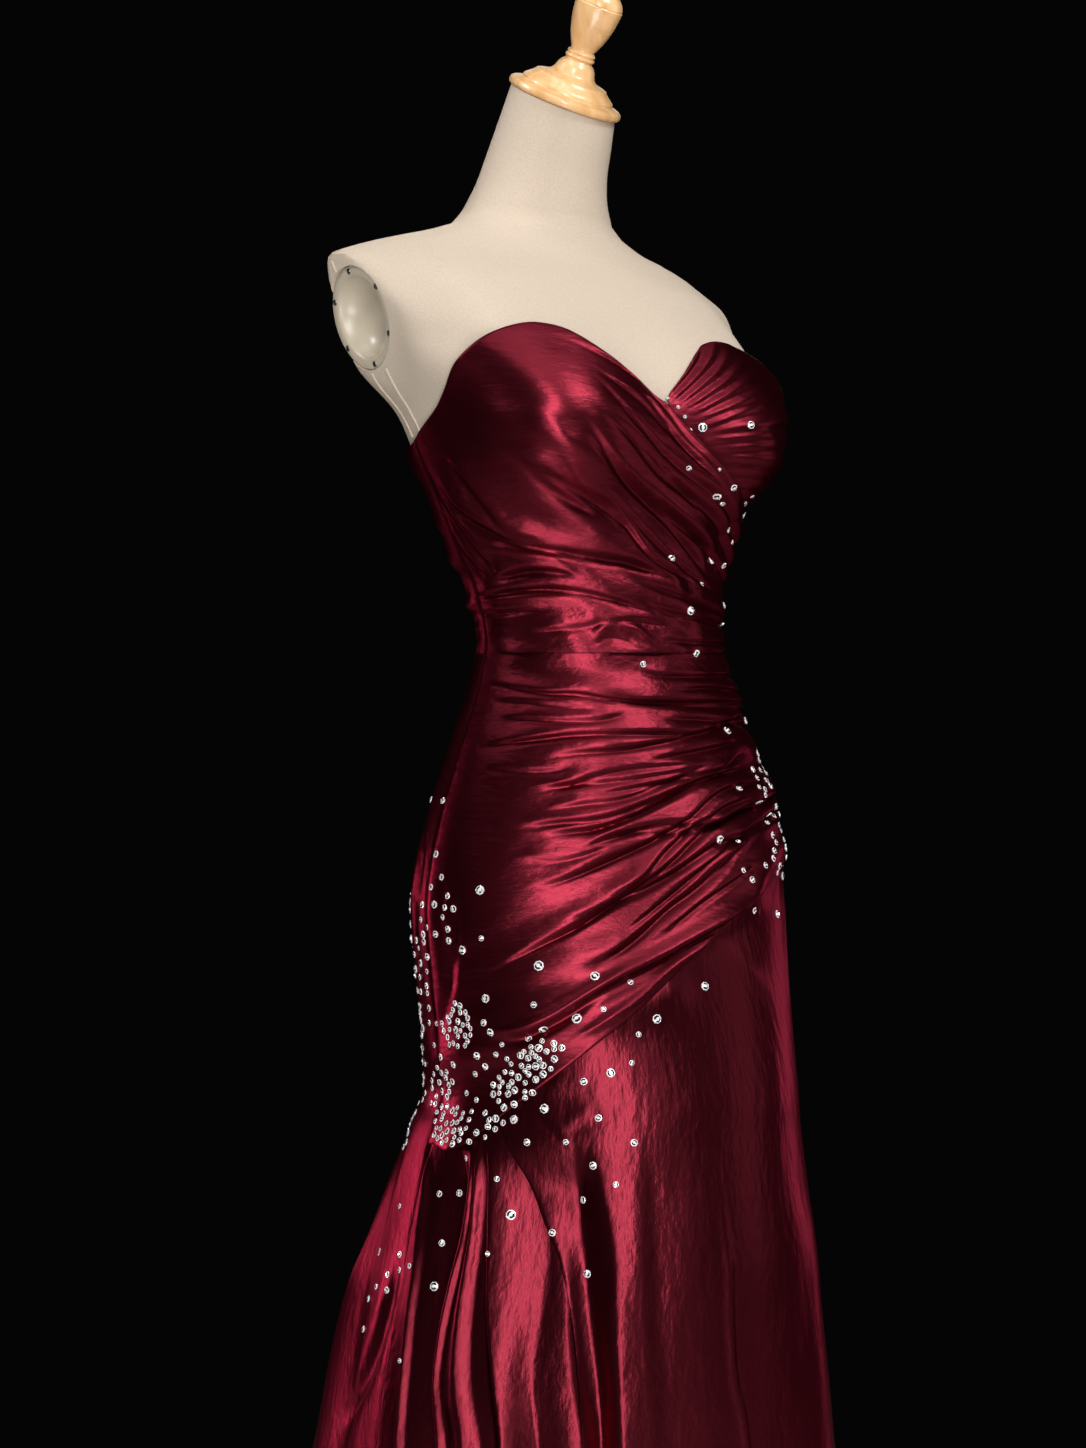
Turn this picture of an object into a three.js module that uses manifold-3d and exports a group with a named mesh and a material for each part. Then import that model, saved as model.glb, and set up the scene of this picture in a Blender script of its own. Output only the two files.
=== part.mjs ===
// A strapless mermaid gown on a limbless display form that stands on a pole and a round base.
// Millimetres, +Z up. The front faces -Y and +X is the form's left.
// The origin is on the floor, at the centre of the stand's base.
// Angles go round the form in degrees: 0 at the centre front, 90 at the form's left side,
// -90 at its right side and 180 at the centre back.
import * as THREE from 'three';
import { mergeVertices } from 'three/addons/utils/BufferGeometryUtils.js';
import Module from 'manifold-3d';

// ---- driving dimensions ----
const CLOTH = 1.5;            // wall of every cloth piece
const EASE = 1.5;             // air between the form and the cloth at the waist and the hip
const CUP_EASE = 3.5;         // more air where the boned top stands off the chest
const BACK_EASE = 1.3;        // more air where the back panels hang off the seat
const SEAM_GAP = 0.7;         // air between two pieces at a seam
const HEM = 13;               // height of the hem above the floor
const WAIST_SEAM = 1038;      // height of the seam between the bodice and the skirt pieces
const HIP_TOP = 905;          // above this height the gown follows the form
const HIP_END = 815;          // below this height the skirt has its own shape
const SIDE = 90;              // angle of a side seam
const ROUND = 180;            // angle of the centre back
const BACK_TOP = 1196;        // height of the gown's top edge at the centre back
const POLE_RADIUS = 16;
const BASE_RADIUS = 150;
const BASE_THICK = 14;
const TORSO_BOTTOM = 712;
const NODE_GAP = 0.3;         // air between hard pieces that touch on the real stand
const RAD = Math.PI / 180;

const table = (names, rows) => {
  const columns = names.split(' ');
  return rows.map((row) => Object.fromEntries(columns.map((name, i) => [name, row[i]])));
};

// Horizontal sections of the form: half width, depth before and behind the middle, the middle's
// sideways and backward shift, and how square the section is (2 is an ellipse).
const FORM = table('height halfWidth front back middleX middleY square', [
  [TORSO_BOTTOM, 132, 92, 98, 0, 0, 2.2],
  [780, 150, 102, 108, 0, 0, 2.2],
  [833, 157, 109, 113, 2, 0, 2.15],
  [867, 157, 110, 115, 4, 0, 2.1],
  [908, 150, 108, 109, 6, 0, 2.0],
  [933, 141, 106, 102, 5, 0, 2.0],
  [967, 129, 100, 92, 4, 0, 2.0],
  [1000, 116, 92, 82, 3, 0, 2.0],
  [1025, 109, 86, 77, 3, 0, 2.0],
  [1050, 105, 83, 75, 3, 0, 2.0],
  [1092, 110, 87, 83, 2, 8, 2.0],
  [1117, 119, 94, 94, 0, 15, 2.0],
  [1150, 132, 108, 104, 0, 23, 2.0],
  [1192, 144, 124, 112, -1, 34, 2.05],
  [1233, 153, 138, 108, -2, 46, 2.2],
  [1272, 184, 148, 92, -6, 68, 2.5],
  [1300, 193, 142, 84, -10, 79, 2.6],
  [1334, 199, 124, 70, -12, 95, 2.4],
  [1350, 200, 110, 64, -12, 102, 2.2],
  [1362, 192, 94, 58, -11, 106, 2.0],
  [1374, 162, 78, 55, -8, 106, 2.0],
  [1387, 110, 66, 54, -3, 104, 2.0],
  [1399, 79, 60, 54, 0, 102, 2.0],
]);

// The shoulders stand at a slant: the left one is lower. The slant grows from the waist up.
const SHOULDER_SLANT = { rise: 0.07, from: 1060, to: 1260 };

// Slanting sections of the neck: the middle, the half sizes, and how far the section tips
// forward and to the left, in degrees.
const NECK = table('middleX middleY height halfWidth halfDepth forward aside', [
  [0, 100, 1412, 67, 56, 4, 4],
  [1, 94, 1433, 58, 53, 8, 5],
  [2, 86, 1457, 53, 50, 13, 6],
  [4, 76, 1482, 50, 48, 19, 8],
  [6, 66, 1508, 47, 46, 24, 10],
]);
const NECK_TOP = NECK[NECK.length - 1];

// The two bust cups swell out of the form, rounder above than below.
const BUST = { angle: 34, height: 1218, out: 44, spread: 25, above: 58, below: 56 };

// Horizontal sections of the skirt's outer face, from the hem up to the hip.
const SKIRT = table('height halfWidth front back middleX middleY square', [
  [HEM, 268, 246, 372, -4, 0, 2.0],
  [120, 250, 231, 346, -4, 0, 2.0],
  [250, 226, 212, 314, -4, 0, 2.0],
  [377, 205, 195, 276, -4, 0, 2.0],
  [447, 196, 194, 260, -4, 0, 2.0],
  [506, 187, 192, 240, -3, 0, 2.0],
  [550, 179, 190, 214, 0, 0, 2.0],
  [604, 169, 182, 184, 2, 0, 2.0],
  [650, 160, 172, 152, 5, 0, 2.05],
  [676, 155, 166, 131, 8, 0, 2.1],
  [725, 157, 150, 121, 6, 0, 2.15],
  [767, 160, 137, 120, 4, 0, 2.15],
  [833, 164, 120, 122, 2, 0, 2.15],
  [867, 163, 118, 121, 4, 0, 2.1],
  [912, 156, 115, 115, 6, 0, 2.0],
]);

// Ridges of gathered cloth on the bodice and the hip. Each runs from one place to another and
// has its height out from the cloth and its half width, in millimetres.
const GATHERS = table('fromAngle fromHeight toAngle toHeight out width', [
  [-72, 1180, 20, 1092, 3.5, 11],
  [-52, 1222, 38, 1118, 3, 10],
  [-30, 1250, 40, 1142, 3, 10],
  [-80, 1128, 40, 1064, 3, 10],
  [-55, 1010, 70, 1012, 2.5, 9],
  [-45, 962, 84, 962, 3, 11],
  [-48, 905, 86, 938, 3.5, 12],
  [-30, 850, 88, 915, 4, 12],
  [-62, 772, 70, 885, 5, 14],
  [-80, 728, 46, 846, 5, 13],
  [-95, 700, 0, 768, 4, 13],
  [96, 940, 150, 968, 2.5, 11],
  [94, 905, 160, 900, 3, 12],
]);

// Long folds of the skirt. Each starts at one angle and height and opens down to the hem, where
// it reaches its full height (negative for a hollow) and half width in degrees.
const FLUTES = table('startAngle startHeight hemAngle out width', [
  [-84, 670, -88, -16, 7],
  [-78, 680, -74, 24, 6.5],
  [-72, 650, -61, -14, 6],
  [-66, 640, -50, 13, 6.5],
  [-60, 620, -38, -10, 6],
  [-40, 640, -24, 11, 8],
  [2, 560, 6, 8, 9],
  [38, 600, 40, 12, 10],
  [66, 620, 66, -9, 9],
  [86, 640, 92, 15, 9],
  [112, 640, 118, -14, 9],
  [136, 640, 140, 18, 9],
  [158, 640, 162, -12, 8],
  [180, 620, 182, 16, 8],
  [-158, 640, -161, -12, 8],
  [-136, 650, -139, 20, 9],
  [-116, 660, -116, -16, 8],
  [-99, 670, -101, 14, 7],
]);

// The gown's top edge, the wrapped edge of the bodice, the lower edge of the hip drape and the
// front edge of the side panel.
const TOP_EDGE = table('angle height', [
  [-ROUND, BACK_TOP], [-150, 1197], [-115, 1198], [-95, 1201], [-84, 1213], [-74, 1225], [-65, 1239],
  [-52, 1265], [-43, 1284], [-34, 1295], [-28, 1296], [-22, 1292], [-15, 1279], [-7, 1260], [0, 1240],
  [4, 1251], [9, 1265], [18, 1287], [27, 1300], [35, 1302], [43, 1294], [52, 1274], [60, 1257],
  [75, 1232], [88, 1214], [115, 1201], [150, 1197], [ROUND, BACK_TOP],
]);
const WRAP_EDGE = table('height angle', [
  [1098, 90], [1112, 76], [1126, 63], [1150, 43], [1170, 26], [1194, 14], [1219, 6], [1240, 0],
]);
const DRAPE_EDGE = table('angle height', [
  [-90, 646], [-80, 643], [-72, 650], [-66, 663], [-60, 677], [-49, 699], [-33, 732], [-19, 760],
  [-9, 779], [3, 799], [19, 822], [40, 845], [60, 868], [90, 896],
]);
const SIDE_PANEL_EDGE = table('height angle', [
  [HEM, -26], [200, -29], [415, -32], [508, -35], [557, -40], [580, -44], [619, -51], [647, -58],
  [668, -63],
]);

// ---- smooth curves through a table's rows ----
function valueAt(rows, key, at, column) {
  const last = rows.length - 1;
  if (at <= rows[0][key]) return rows[0][column];
  if (at >= rows[last][key]) return rows[last][column];
  let i = 0;
  while (rows[i + 1][key] < at) i += 1;
  const slope = (a, b) => (rows[b][column] - rows[a][column]) / (rows[b][key] - rows[a][key]);
  const step = rows[i + 1][key] - rows[i][key];
  const t = (at - rows[i][key]) / step;
  const startSlope = slope(Math.max(i - 1, 0), i + 1) * step;
  const endSlope = slope(i, Math.min(i + 2, last)) * step;
  const start = rows[i][column];
  const end = rows[i + 1][column];
  return start * (2 * t ** 3 - 3 * t ** 2 + 1) + startSlope * (t ** 3 - 2 * t ** 2 + t)
    + end * (3 * t ** 2 - 2 * t ** 3) + endSlope * (t ** 3 - t ** 2);
}

const clamp = (value, low, high) => Math.min(Math.max(value, low), high);
const easeStep = (value, low, high) => {
  const t = clamp((value - low) / (high - low), 0, 1);
  return t * t * (3 - 2 * t);
};
const bell = (distance, width) => Math.exp(-((distance / width) ** 2));
const turnBetween = (a, b) => {
  const turn = (a - b) % 360;
  if (turn > 180) return turn - 360;
  return turn < -180 ? turn + 360 : turn;
};

// ---- the form's and the gown's faces ----
function sectionRadius(section, angle) {
  const across = Math.abs(Math.sin(angle * RAD)) / section.halfWidth;
  const depth = Math.cos(angle * RAD) > 0 ? section.front : section.back;
  const along = Math.abs(Math.cos(angle * RAD)) / depth;
  return (across ** section.square + along ** section.square) ** (-1 / section.square);
}

function sectionAt(rows, height) {
  const section = {};
  for (const column of Object.keys(rows[0])) {
    section[column] = column === 'height' ? height : valueAt(rows, 'height', height, column);
  }
  return section;
}

function bustSwell(angle, height) {
  const rise = height - BUST.height;
  const tall = rise > 0 ? bell(rise, BUST.above) : Math.exp(-((-rise / BUST.below) ** 3));
  const left = bell(turnBetween(angle, BUST.angle), BUST.spread);
  const right = bell(turnBetween(angle, -BUST.angle), BUST.spread);
  return BUST.out * tall * (left + right);
}

function formRing(angle, height) {
  const section = sectionAt(FORM, height);
  return { section, radius: sectionRadius(section, angle) + bustSwell(angle, height) };
}

const MM_PER_DEGREE = 2.4;
function gatherHeight(angle, height) {
  let out = 0;
  for (const fold of GATHERS) {
    const runX = (fold.toAngle - fold.fromAngle) * MM_PER_DEGREE;
    const runZ = fold.toHeight - fold.fromHeight;
    const x = turnBetween(angle, fold.fromAngle) * MM_PER_DEGREE;
    const z = height - fold.fromHeight;
    const length = Math.hypot(runX, runZ);
    const along = (x * runX + z * runZ) / length ** 2;
    const off = (x * runZ - z * runX) / length;
    const fade = easeStep(along, -0.1, 0.25) * (1 - easeStep(along, 0.92, 1.05));
    out += fold.out * bell(off, fold.width) * fade;
  }
  return out;
}

function fluteHeight(angle, height) {
  let out = 0;
  for (const flute of FLUTES) {
    const open = clamp((flute.startHeight - height) / (flute.startHeight - HEM), 0, 1);
    const middle = flute.startAngle + (flute.hemAngle - flute.startAngle) * open ** 0.6;
    out += flute.out * open ** 0.7 * bell(turnBetween(angle, middle), flute.width);
  }
  return out;
}

// The radius of the cloth's outer face and the middle that it is measured from.
function gownRing(angle, height) {
  const worn = formRing(angle, height);
  const free = sectionAt(SKIRT, height);
  const share = easeStep(height, HIP_END, HIP_TOP);
  const behind = BACK_EASE * easeStep(Math.abs(turnBetween(angle, 0)), 82, 112);
  const ease = EASE + behind + CUP_EASE * easeStep(height, 1080, 1230);
  const close = worn.radius + ease + CLOTH;
  const skirt = sectionRadius(free, angle) + fluteHeight(angle, height);
  const mix = (a, b) => b + (a - b) * share;
  return {
    radius: mix(close, skirt) + gatherHeight(angle, height),
    middleX: mix(worn.section.middleX, free.middleX),
    middleY: mix(worn.section.middleY, free.middleY),
  };
}

function ringPoint(ring, angle, height, radius) {
  const x = ring.middleX + radius * Math.sin(angle * RAD);
  const y = ring.middleY - radius * Math.cos(angle * RAD);
  const slant = SHOULDER_SLANT.rise * easeStep(height, SHOULDER_SLANT.from, SHOULDER_SLANT.to);
  return new THREE.Vector3(x, y, height - x * slant);
}

function clothPoint(angle, height, depth) {
  const ring = gownRing(angle, height);
  return ringPoint(ring, angle, height, ring.radius - depth);
}

// ---- a mesh from points and rows of faces ----
function solidFrom(points, faces) {
  const geometry = new THREE.BufferGeometry();
  geometry.setAttribute('position', new THREE.Float32BufferAttribute(points.flatMap((p) => p.toArray()), 3));
  geometry.setIndex(faces.flat());
  geometry.computeVertexNormals();
  return geometry;
}

function named(name, geometry, look) {
  const mesh = new THREE.Mesh(geometry, new THREE.MeshStandardMaterial(look));
  mesh.name = name;
  return mesh;
}

// A cloth piece is a wall on a patch of the gown's face. The patch is bounded by an angle at its
// left and right edge (each a function of height) and by a height at its top and bottom edge
// (each a function of angle).
function clothWall(patch) {
  const { columns, rows } = patch;
  const inset = SEAM_GAP / 2;
  const outer = [];
  const inner = [];
  for (let row = 0; row <= rows; row += 1) {
    for (let column = 0; column <= columns; column += 1) {
      const across = column / columns;
      const up = 1 - (1 - row / rows) ** patch.crowd;
      let angle = patch.right(WAIST_SEAM) * across + patch.left(WAIST_SEAM) * (1 - across);
      let height = 0;
      for (let pass = 0; pass < 30; pass += 1) {
        const low = patch.bottom(angle) + inset;
        const high = patch.top(angle) - inset;
        height = low + (high - low) * up;
        const trim = inset / (gownRing(angle, height).radius * RAD);
        const start = patch.left(height) + trim;
        const end = patch.right(height) - trim;
        angle = angle * 0.3 + (start + (end - start) * across) * 0.7;
      }
      outer.push(clothPoint(angle, height, 0));
      inner.push(clothPoint(angle, height, CLOTH));
    }
  }
  const points = [...outer, ...inner];
  const faces = [];
  const under = outer.length;
  const at = (row, column) => row * (columns + 1) + column;
  for (let row = 0; row < rows; row += 1) {
    for (let column = 0; column < columns; column += 1) {
      const a = at(row, column);
      const b = at(row, column + 1);
      const c = at(row + 1, column + 1);
      const d = at(row + 1, column);
      faces.push([a, b, c], [a, c, d]);
      faces.push([a + under, c + under, b + under], [a + under, d + under, c + under]);
    }
  }
  const edge = [];
  for (let column = 0; column < columns; column += 1) edge.push(at(0, column));
  for (let row = 0; row < rows; row += 1) edge.push(at(row, columns));
  for (let column = columns; column > 0; column -= 1) edge.push(at(rows, column));
  for (let row = rows; row > 0; row -= 1) edge.push(at(row, 0));
  edge.forEach((from, i) => {
    const to = edge[(i + 1) % edge.length];
    faces.push([from, from + under, to + under], [from, to + under, to]);
  });
  return solidFrom(points, faces);
}

// ---- cloth pieces ----
const TAFFETA = { color: 0x7a1626, roughness: 0.38, metalness: 0.25 };
const topEdge = (angle) => valueAt(TOP_EDGE, 'angle', angle, 'height');
const wrapEdge = (height) => valueAt(WRAP_EDGE, 'height', height, 'angle');
const drapeEdge = (angle) => valueAt(DRAPE_EDGE, 'angle', angle, 'height');
const sidePanelEdge = (height) => valueAt(SIDE_PANEL_EDGE, 'height', height, 'angle');
const level = (value) => () => value;

// The wrapped edge read the other way: its height at an angle.
const wrapEdgeByAngle = [...WRAP_EDGE].reverse();
const wrapHeight = (angle) => valueAt(wrapEdgeByAngle, 'angle', angle, 'height');

const clothPieces = {
  bodice_wrap_front: {
    left: level(-SIDE), right: level(SIDE), columns: 36, rows: 14, crowd: 1,
    bottom: level(WAIST_SEAM),
    top: (angle) => (angle < 0 ? topEdge(angle) : wrapHeight(angle)),
  },
  bodice_left_cup: {
    left: level(3), right: level(SIDE), columns: 24, rows: 10, crowd: 1,
    bottom: wrapHeight, top: topEdge,
  },
  bodice_back_left: {
    left: level(SIDE), right: level(ROUND), columns: 10, rows: 10, crowd: 1,
    bottom: level(WAIST_SEAM), top: topEdge,
  },
  bodice_back_right: {
    left: level(-ROUND), right: level(-SIDE), columns: 10, rows: 10, crowd: 1,
    bottom: level(WAIST_SEAM), top: topEdge,
  },
  hip_drape_front: {
    left: level(-SIDE), right: level(SIDE), columns: 24, rows: 18, crowd: 1,
    bottom: drapeEdge, top: level(WAIST_SEAM),
  },
  skirt_front: {
    left: sidePanelEdge, right: level(SIDE), columns: 22, rows: 15, crowd: 1.1,
    bottom: level(HEM), top: drapeEdge,
  },
  skirt_right_side: {
    left: level(-SIDE), right: sidePanelEdge, columns: 14, rows: 15, crowd: 1.1,
    bottom: level(HEM), top: drapeEdge,
  },
  skirt_back_left: {
    left: level(SIDE), right: level(ROUND), columns: 18, rows: 20, crowd: 1.5,
    bottom: level(HEM), top: level(WAIST_SEAM),
  },
  skirt_back_right: {
    left: level(-ROUND), right: level(-SIDE), columns: 18, rows: 20, crowd: 1.5,
    bottom: level(HEM), top: level(WAIST_SEAM),
  },
};

// ---- the form ----
const COVER = { color: 0xd9cbb4, roughness: 0.85, metalness: 0 };
const IVORY = { color: 0xd8cfbf, roughness: 0.35, metalness: 0 };
const BEECH = { color: 0xd9a763, roughness: 0.4, metalness: 0 };
const STEEL = { color: 0xb8b8ba, roughness: 0.3, metalness: 1 };
const TORSO_COLUMNS = 40;
const TORSO_HEIGHTS = [
  TORSO_BOTTOM, 735, 762, 790, 820, 850, 880, 908, 935, 960, 985, 1010, 1035, 1060, 1085, 1110,
  1135, 1158, 1180, 1202, 1224, 1246, 1268, 1290, 1312, 1330, 1344, 1354, 1364, 1375, 1387, 1399,
];

// Towards the arm the shoulder narrows to the socket's rim.
const SHOULDER = { from: 118, to: 186, low: 1236, high: 1290, middle: 80, narrow: 0.34 };
function formPoint(angle, height) {
  const { section, radius } = formRing(angle, height);
  const point = ringPoint(section, angle, height, radius);
  const out = Math.abs(point.x - section.middleX);
  const share = easeStep(out, SHOULDER.from, SHOULDER.to) * easeStep(height, SHOULDER.low, SHOULDER.high);
  point.y = SHOULDER.middle + (point.y - SHOULDER.middle) * (1 - SHOULDER.narrow * share);
  return point;
}

function neckPlace(row) {
  const place = new THREE.Matrix4().makeTranslation(row.middleX, row.middleY, row.height);
  const forward = new THREE.Matrix4().makeRotationX(row.forward * RAD);
  const aside = new THREE.Matrix4().makeRotationY(row.aside * RAD);
  return place.multiply(forward).multiply(aside);
}

function torsoSolid() {
  const rings = TORSO_HEIGHTS.map((height) => (angle) => formPoint(angle, height));
  for (const row of NECK) {
    const place = neckPlace(row);
    rings.push((angle) => {
      const x = row.halfWidth * Math.sin(angle * RAD);
      const y = -row.halfDepth * Math.cos(angle * RAD);
      return new THREE.Vector3(x, y, 0).applyMatrix4(place);
    });
  }
  const points = [];
  for (const ring of rings) {
    for (let i = 0; i < TORSO_COLUMNS; i += 1) points.push(ring((i * 360) / TORSO_COLUMNS));
  }
  const faces = [];
  const at = (row, column) => row * TORSO_COLUMNS + (column % TORSO_COLUMNS);
  for (let row = 0; row < rings.length - 1; row += 1) {
    for (let column = 0; column < TORSO_COLUMNS; column += 1) {
      const a = at(row, column);
      const b = at(row, column + 1);
      const c = at(row + 1, column + 1);
      const d = at(row + 1, column);
      faces.push([a, b, c], [a, c, d]);
    }
  }
  const bottomMiddle = points.length;
  points.push(new THREE.Vector3(0, 0, TORSO_BOTTOM));
  const topMiddle = points.length;
  points.push(new THREE.Vector3().applyMatrix4(neckPlace(NECK_TOP)));
  const lastRing = rings.length - 1;
  for (let column = 0; column < TORSO_COLUMNS; column += 1) {
    faces.push([bottomMiddle, at(0, column + 1), at(0, column)]);
    faces.push([topMiddle, at(lastRing, column), at(lastRing, column + 1)]);
  }
  return solidFrom(points, faces);
}

// The arm socket: a flat ring round a bowl, let into the end of each shoulder. Its axis points
// out sideways and a little down.
const SOCKET = {
  x: 174, y: 80, height: 1302, tilt: 15, turn: 5, radius: 44, ring: 8, bowl: 28, stretch: 0.97, back: 30,
};

function socketPlace(side) {
  const middleX = valueAt(FORM, 'height', SOCKET.height, 'middleX');
  const x = middleX + side * SOCKET.x;
  const height = SOCKET.height - x * SHOULDER_SLANT.rise;
  const place = new THREE.Matrix4().makeTranslation(x, SOCKET.y, height);
  const forward = new THREE.Matrix4().makeRotationZ(-side * SOCKET.turn * RAD);
  const turn = new THREE.Matrix4().makeRotationY(side * (90 + SOCKET.tilt) * RAD);
  const squeeze = new THREE.Matrix4().makeScale(1, SOCKET.stretch, 1);
  return place.multiply(forward).multiply(turn).multiply(squeeze);
}

const SOCKET_SIDES = 24;
function lathe(profile, sides) {
  const points = profile.map(([radius, height]) => new THREE.Vector2(radius, height));
  const geometry = new THREE.LatheGeometry(points, sides);
  geometry.rotateX(Math.PI / 2);
  return geometry;
}

function socketPlate(side) {
  const { radius, ring, bowl, back } = SOCKET;
  const lip = radius - ring;
  const plate = lathe([
    [0, -back], [radius * 0.55, -back + 3], [radius * 0.8, -back + 11], [radius, -9], [radius, -5],
    [radius - 1.5, -4], [lip, -4], [lip - 3, -6], [lip * 0.8, -14], [lip * 0.5, -21], [0, 2 - bowl],
  ], SOCKET_SIDES);
  plate.applyMatrix4(socketPlace(side));
  return plate;
}

// What is cut off the shoulder: the socket's place and all that stands out past its face.
function socketSpace(side) {
  const { radius, back } = SOCKET;
  const wide = radius + NODE_GAP;
  const outside = 60;
  const cutOff = 92;
  const space = lathe([
    [0, -back - NODE_GAP], [radius * 0.55 + NODE_GAP, 2.5 - back], [radius * 0.8 + NODE_GAP, 10.5 - back],
    [wide, -9 - NODE_GAP], [wide, -3], [cutOff, -3], [cutOff, outside], [0, outside],
  ], SOCKET_SIDES);
  space.applyMatrix4(socketPlace(side));
  return space;
}

const library = await Module();
library.setup();

function toManifold(geometry) {
  const bare = new THREE.BufferGeometry();
  bare.setAttribute('position', geometry.getAttribute('position'));
  bare.setIndex(geometry.getIndex());
  const merged = mergeVertices(bare, 1e-4);
  const vertProperties = Float32Array.from(merged.getAttribute('position').array);
  const triVerts = Uint32Array.from(merged.getIndex().array);
  return new library.Manifold(new library.Mesh({ numProp: 3, vertProperties, triVerts }));
}

function fromManifold(solid) {
  const { vertProperties, triVerts } = solid.getMesh();
  const geometry = new THREE.BufferGeometry();
  geometry.setAttribute('position', new THREE.BufferAttribute(Float32Array.from(vertProperties), 3));
  geometry.setIndex(new THREE.BufferAttribute(Uint32Array.from(triVerts), 1));
  geometry.computeVertexNormals();
  return geometry;
}

function torso() {
  let solid = toManifold(torsoSolid());
  for (const side of [-1, 1]) solid = solid.subtract(toManifold(socketSpace(side)));
  return fromManifold(solid);
}

// The turned neck cap: a stepped disc, a bell, two beads and an urn-shaped finial.
function neckCap() {
  const cap = lathe([
    [0, 0], [47, 0], [50, 2.5], [50, 5.5], [47, 8], [40, 11], [38, 14], [33, 17], [31, 20],
    [19, 23.5], [17.5, 28], [16, 33], [11.5, 37], [11.5, 40.5], [12.5, 43], [10.5, 46],
    [9.5, 48], [14, 60], [19, 74], [20.5, 84], [19.5, 88], [16, 94], [9, 99], [0, 101],
  ], 24);
  cap.translate(0, 0, NODE_GAP);
  cap.applyMatrix4(neckPlace(NECK_TOP));
  return cap;
}

function stand() {
  const poleBottom = BASE_THICK + 22 + NODE_GAP;
  const pole = lathe([
    [0, poleBottom], [POLE_RADIUS, poleBottom], [POLE_RADIUS, TORSO_BOTTOM - NODE_GAP],
    [0, TORSO_BOTTOM - NODE_GAP],
  ], 24);
  const base = lathe([
    [0, 0], [BASE_RADIUS - 3, 0], [BASE_RADIUS, 3], [BASE_RADIUS, BASE_THICK - 5],
    [BASE_RADIUS - 5, BASE_THICK], [34, BASE_THICK + 2], [25, BASE_THICK + 8],
    [22, BASE_THICK + 22], [0, BASE_THICK + 22],
  ], 40);
  return [named('stand_pole', pole, STEEL), named('stand_base', base, STEEL)];
}

// ---- the zip's slider and pull at the top of the centre back ----
// The pull turns on its own top bar, which passes under the slider's bridge.
const ZIP = {
  height: 1184,          // height of the pull's top bar
  bar: 1,                // the bar is square
  room: 0.35,            // air between the pull and the slider
  bridgeWidth: 1.8,
  bridgeThick: 1,
  bridgeReach: 1.7,      // from the bar's middle to the inside of each leg
  bodyWidth: 6,
  bodyHalf: 5,
  bodyThick: 1.8,
  pullWidth: 5.4,
  pullTop: 4.6,
  pullLength: 22,
  pullThick: 1,
};

function zipPlace() {
  const low = clothPoint(ROUND, ZIP.height - ZIP.bodyHalf, 0);
  const high = clothPoint(ROUND, ZIP.height + ZIP.bodyHalf, 0);
  const lean = Math.atan2(high.y - low.y, high.z - low.z);
  const stand = NODE_GAP + ZIP.bodyThick + ZIP.room + (ZIP.bar * Math.SQRT2) / 2;
  const middle = low.clone().add(high).multiplyScalar(0.5);
  const bar = middle.add(new THREE.Vector3(0, Math.cos(lean), -Math.sin(lean)).multiplyScalar(stand));
  return { lean, bar };
}

function zipSlider() {
  const { room, bridgeWidth, bridgeThick, bridgeReach, bodyWidth, bodyHalf, bodyThick } = ZIP;
  const face = -room - (ZIP.bar * Math.SQRT2) / 2;
  const under = room + (ZIP.bar * Math.SQRT2) / 2;
  const body = new THREE.Shape();
  body.moveTo(-bodyWidth / 2, -bodyHalf * 0.6);
  body.lineTo(-bodyWidth * 0.36, -bodyHalf);
  body.lineTo(bodyWidth * 0.36, -bodyHalf);
  body.lineTo(bodyWidth / 2, -bodyHalf * 0.6);
  body.lineTo(bodyWidth / 2, bodyHalf * 0.7);
  body.lineTo(bodyWidth * 0.25, bodyHalf);
  body.lineTo(-bodyWidth * 0.25, bodyHalf);
  body.lineTo(-bodyWidth / 2, bodyHalf * 0.7);
  body.closePath();
  const plate = new THREE.ExtrudeGeometry(body, { depth: bodyThick, bevelEnabled: false });
  plate.rotateX(Math.PI / 2);
  plate.translate(0, face, 0);
  const legs = new THREE.Shape();
  const outside = bridgeReach + bridgeThick;
  legs.moveTo(-outside, face - 0.5);
  legs.lineTo(-outside, under + bridgeThick * 0.4);
  legs.lineTo(-outside + 0.6, under + bridgeThick);
  legs.lineTo(outside - 0.6, under + bridgeThick);
  legs.lineTo(outside, under + bridgeThick * 0.4);
  legs.lineTo(outside, face - 0.5);
  legs.lineTo(bridgeReach, face - 0.5);
  legs.lineTo(bridgeReach, under);
  legs.lineTo(-bridgeReach, under);
  legs.lineTo(-bridgeReach, face - 0.5);
  legs.closePath();
  const bridge = new THREE.ExtrudeGeometry(legs, { depth: bridgeWidth, bevelEnabled: false });
  const stand = new THREE.Matrix4().makeBasis(
    new THREE.Vector3(0, 0, 1), new THREE.Vector3(0, 1, 0), new THREE.Vector3(-1, 0, 0),
  );
  bridge.translate(0, 0, -bridgeWidth / 2);
  bridge.applyMatrix4(stand);
  const { lean, bar } = zipPlace();
  const slider = fromManifold(toManifold(plate).add(toManifold(bridge)));
  slider.rotateX(-lean);
  slider.translate(bar.x, bar.y, bar.z);
  return slider;
}

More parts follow.
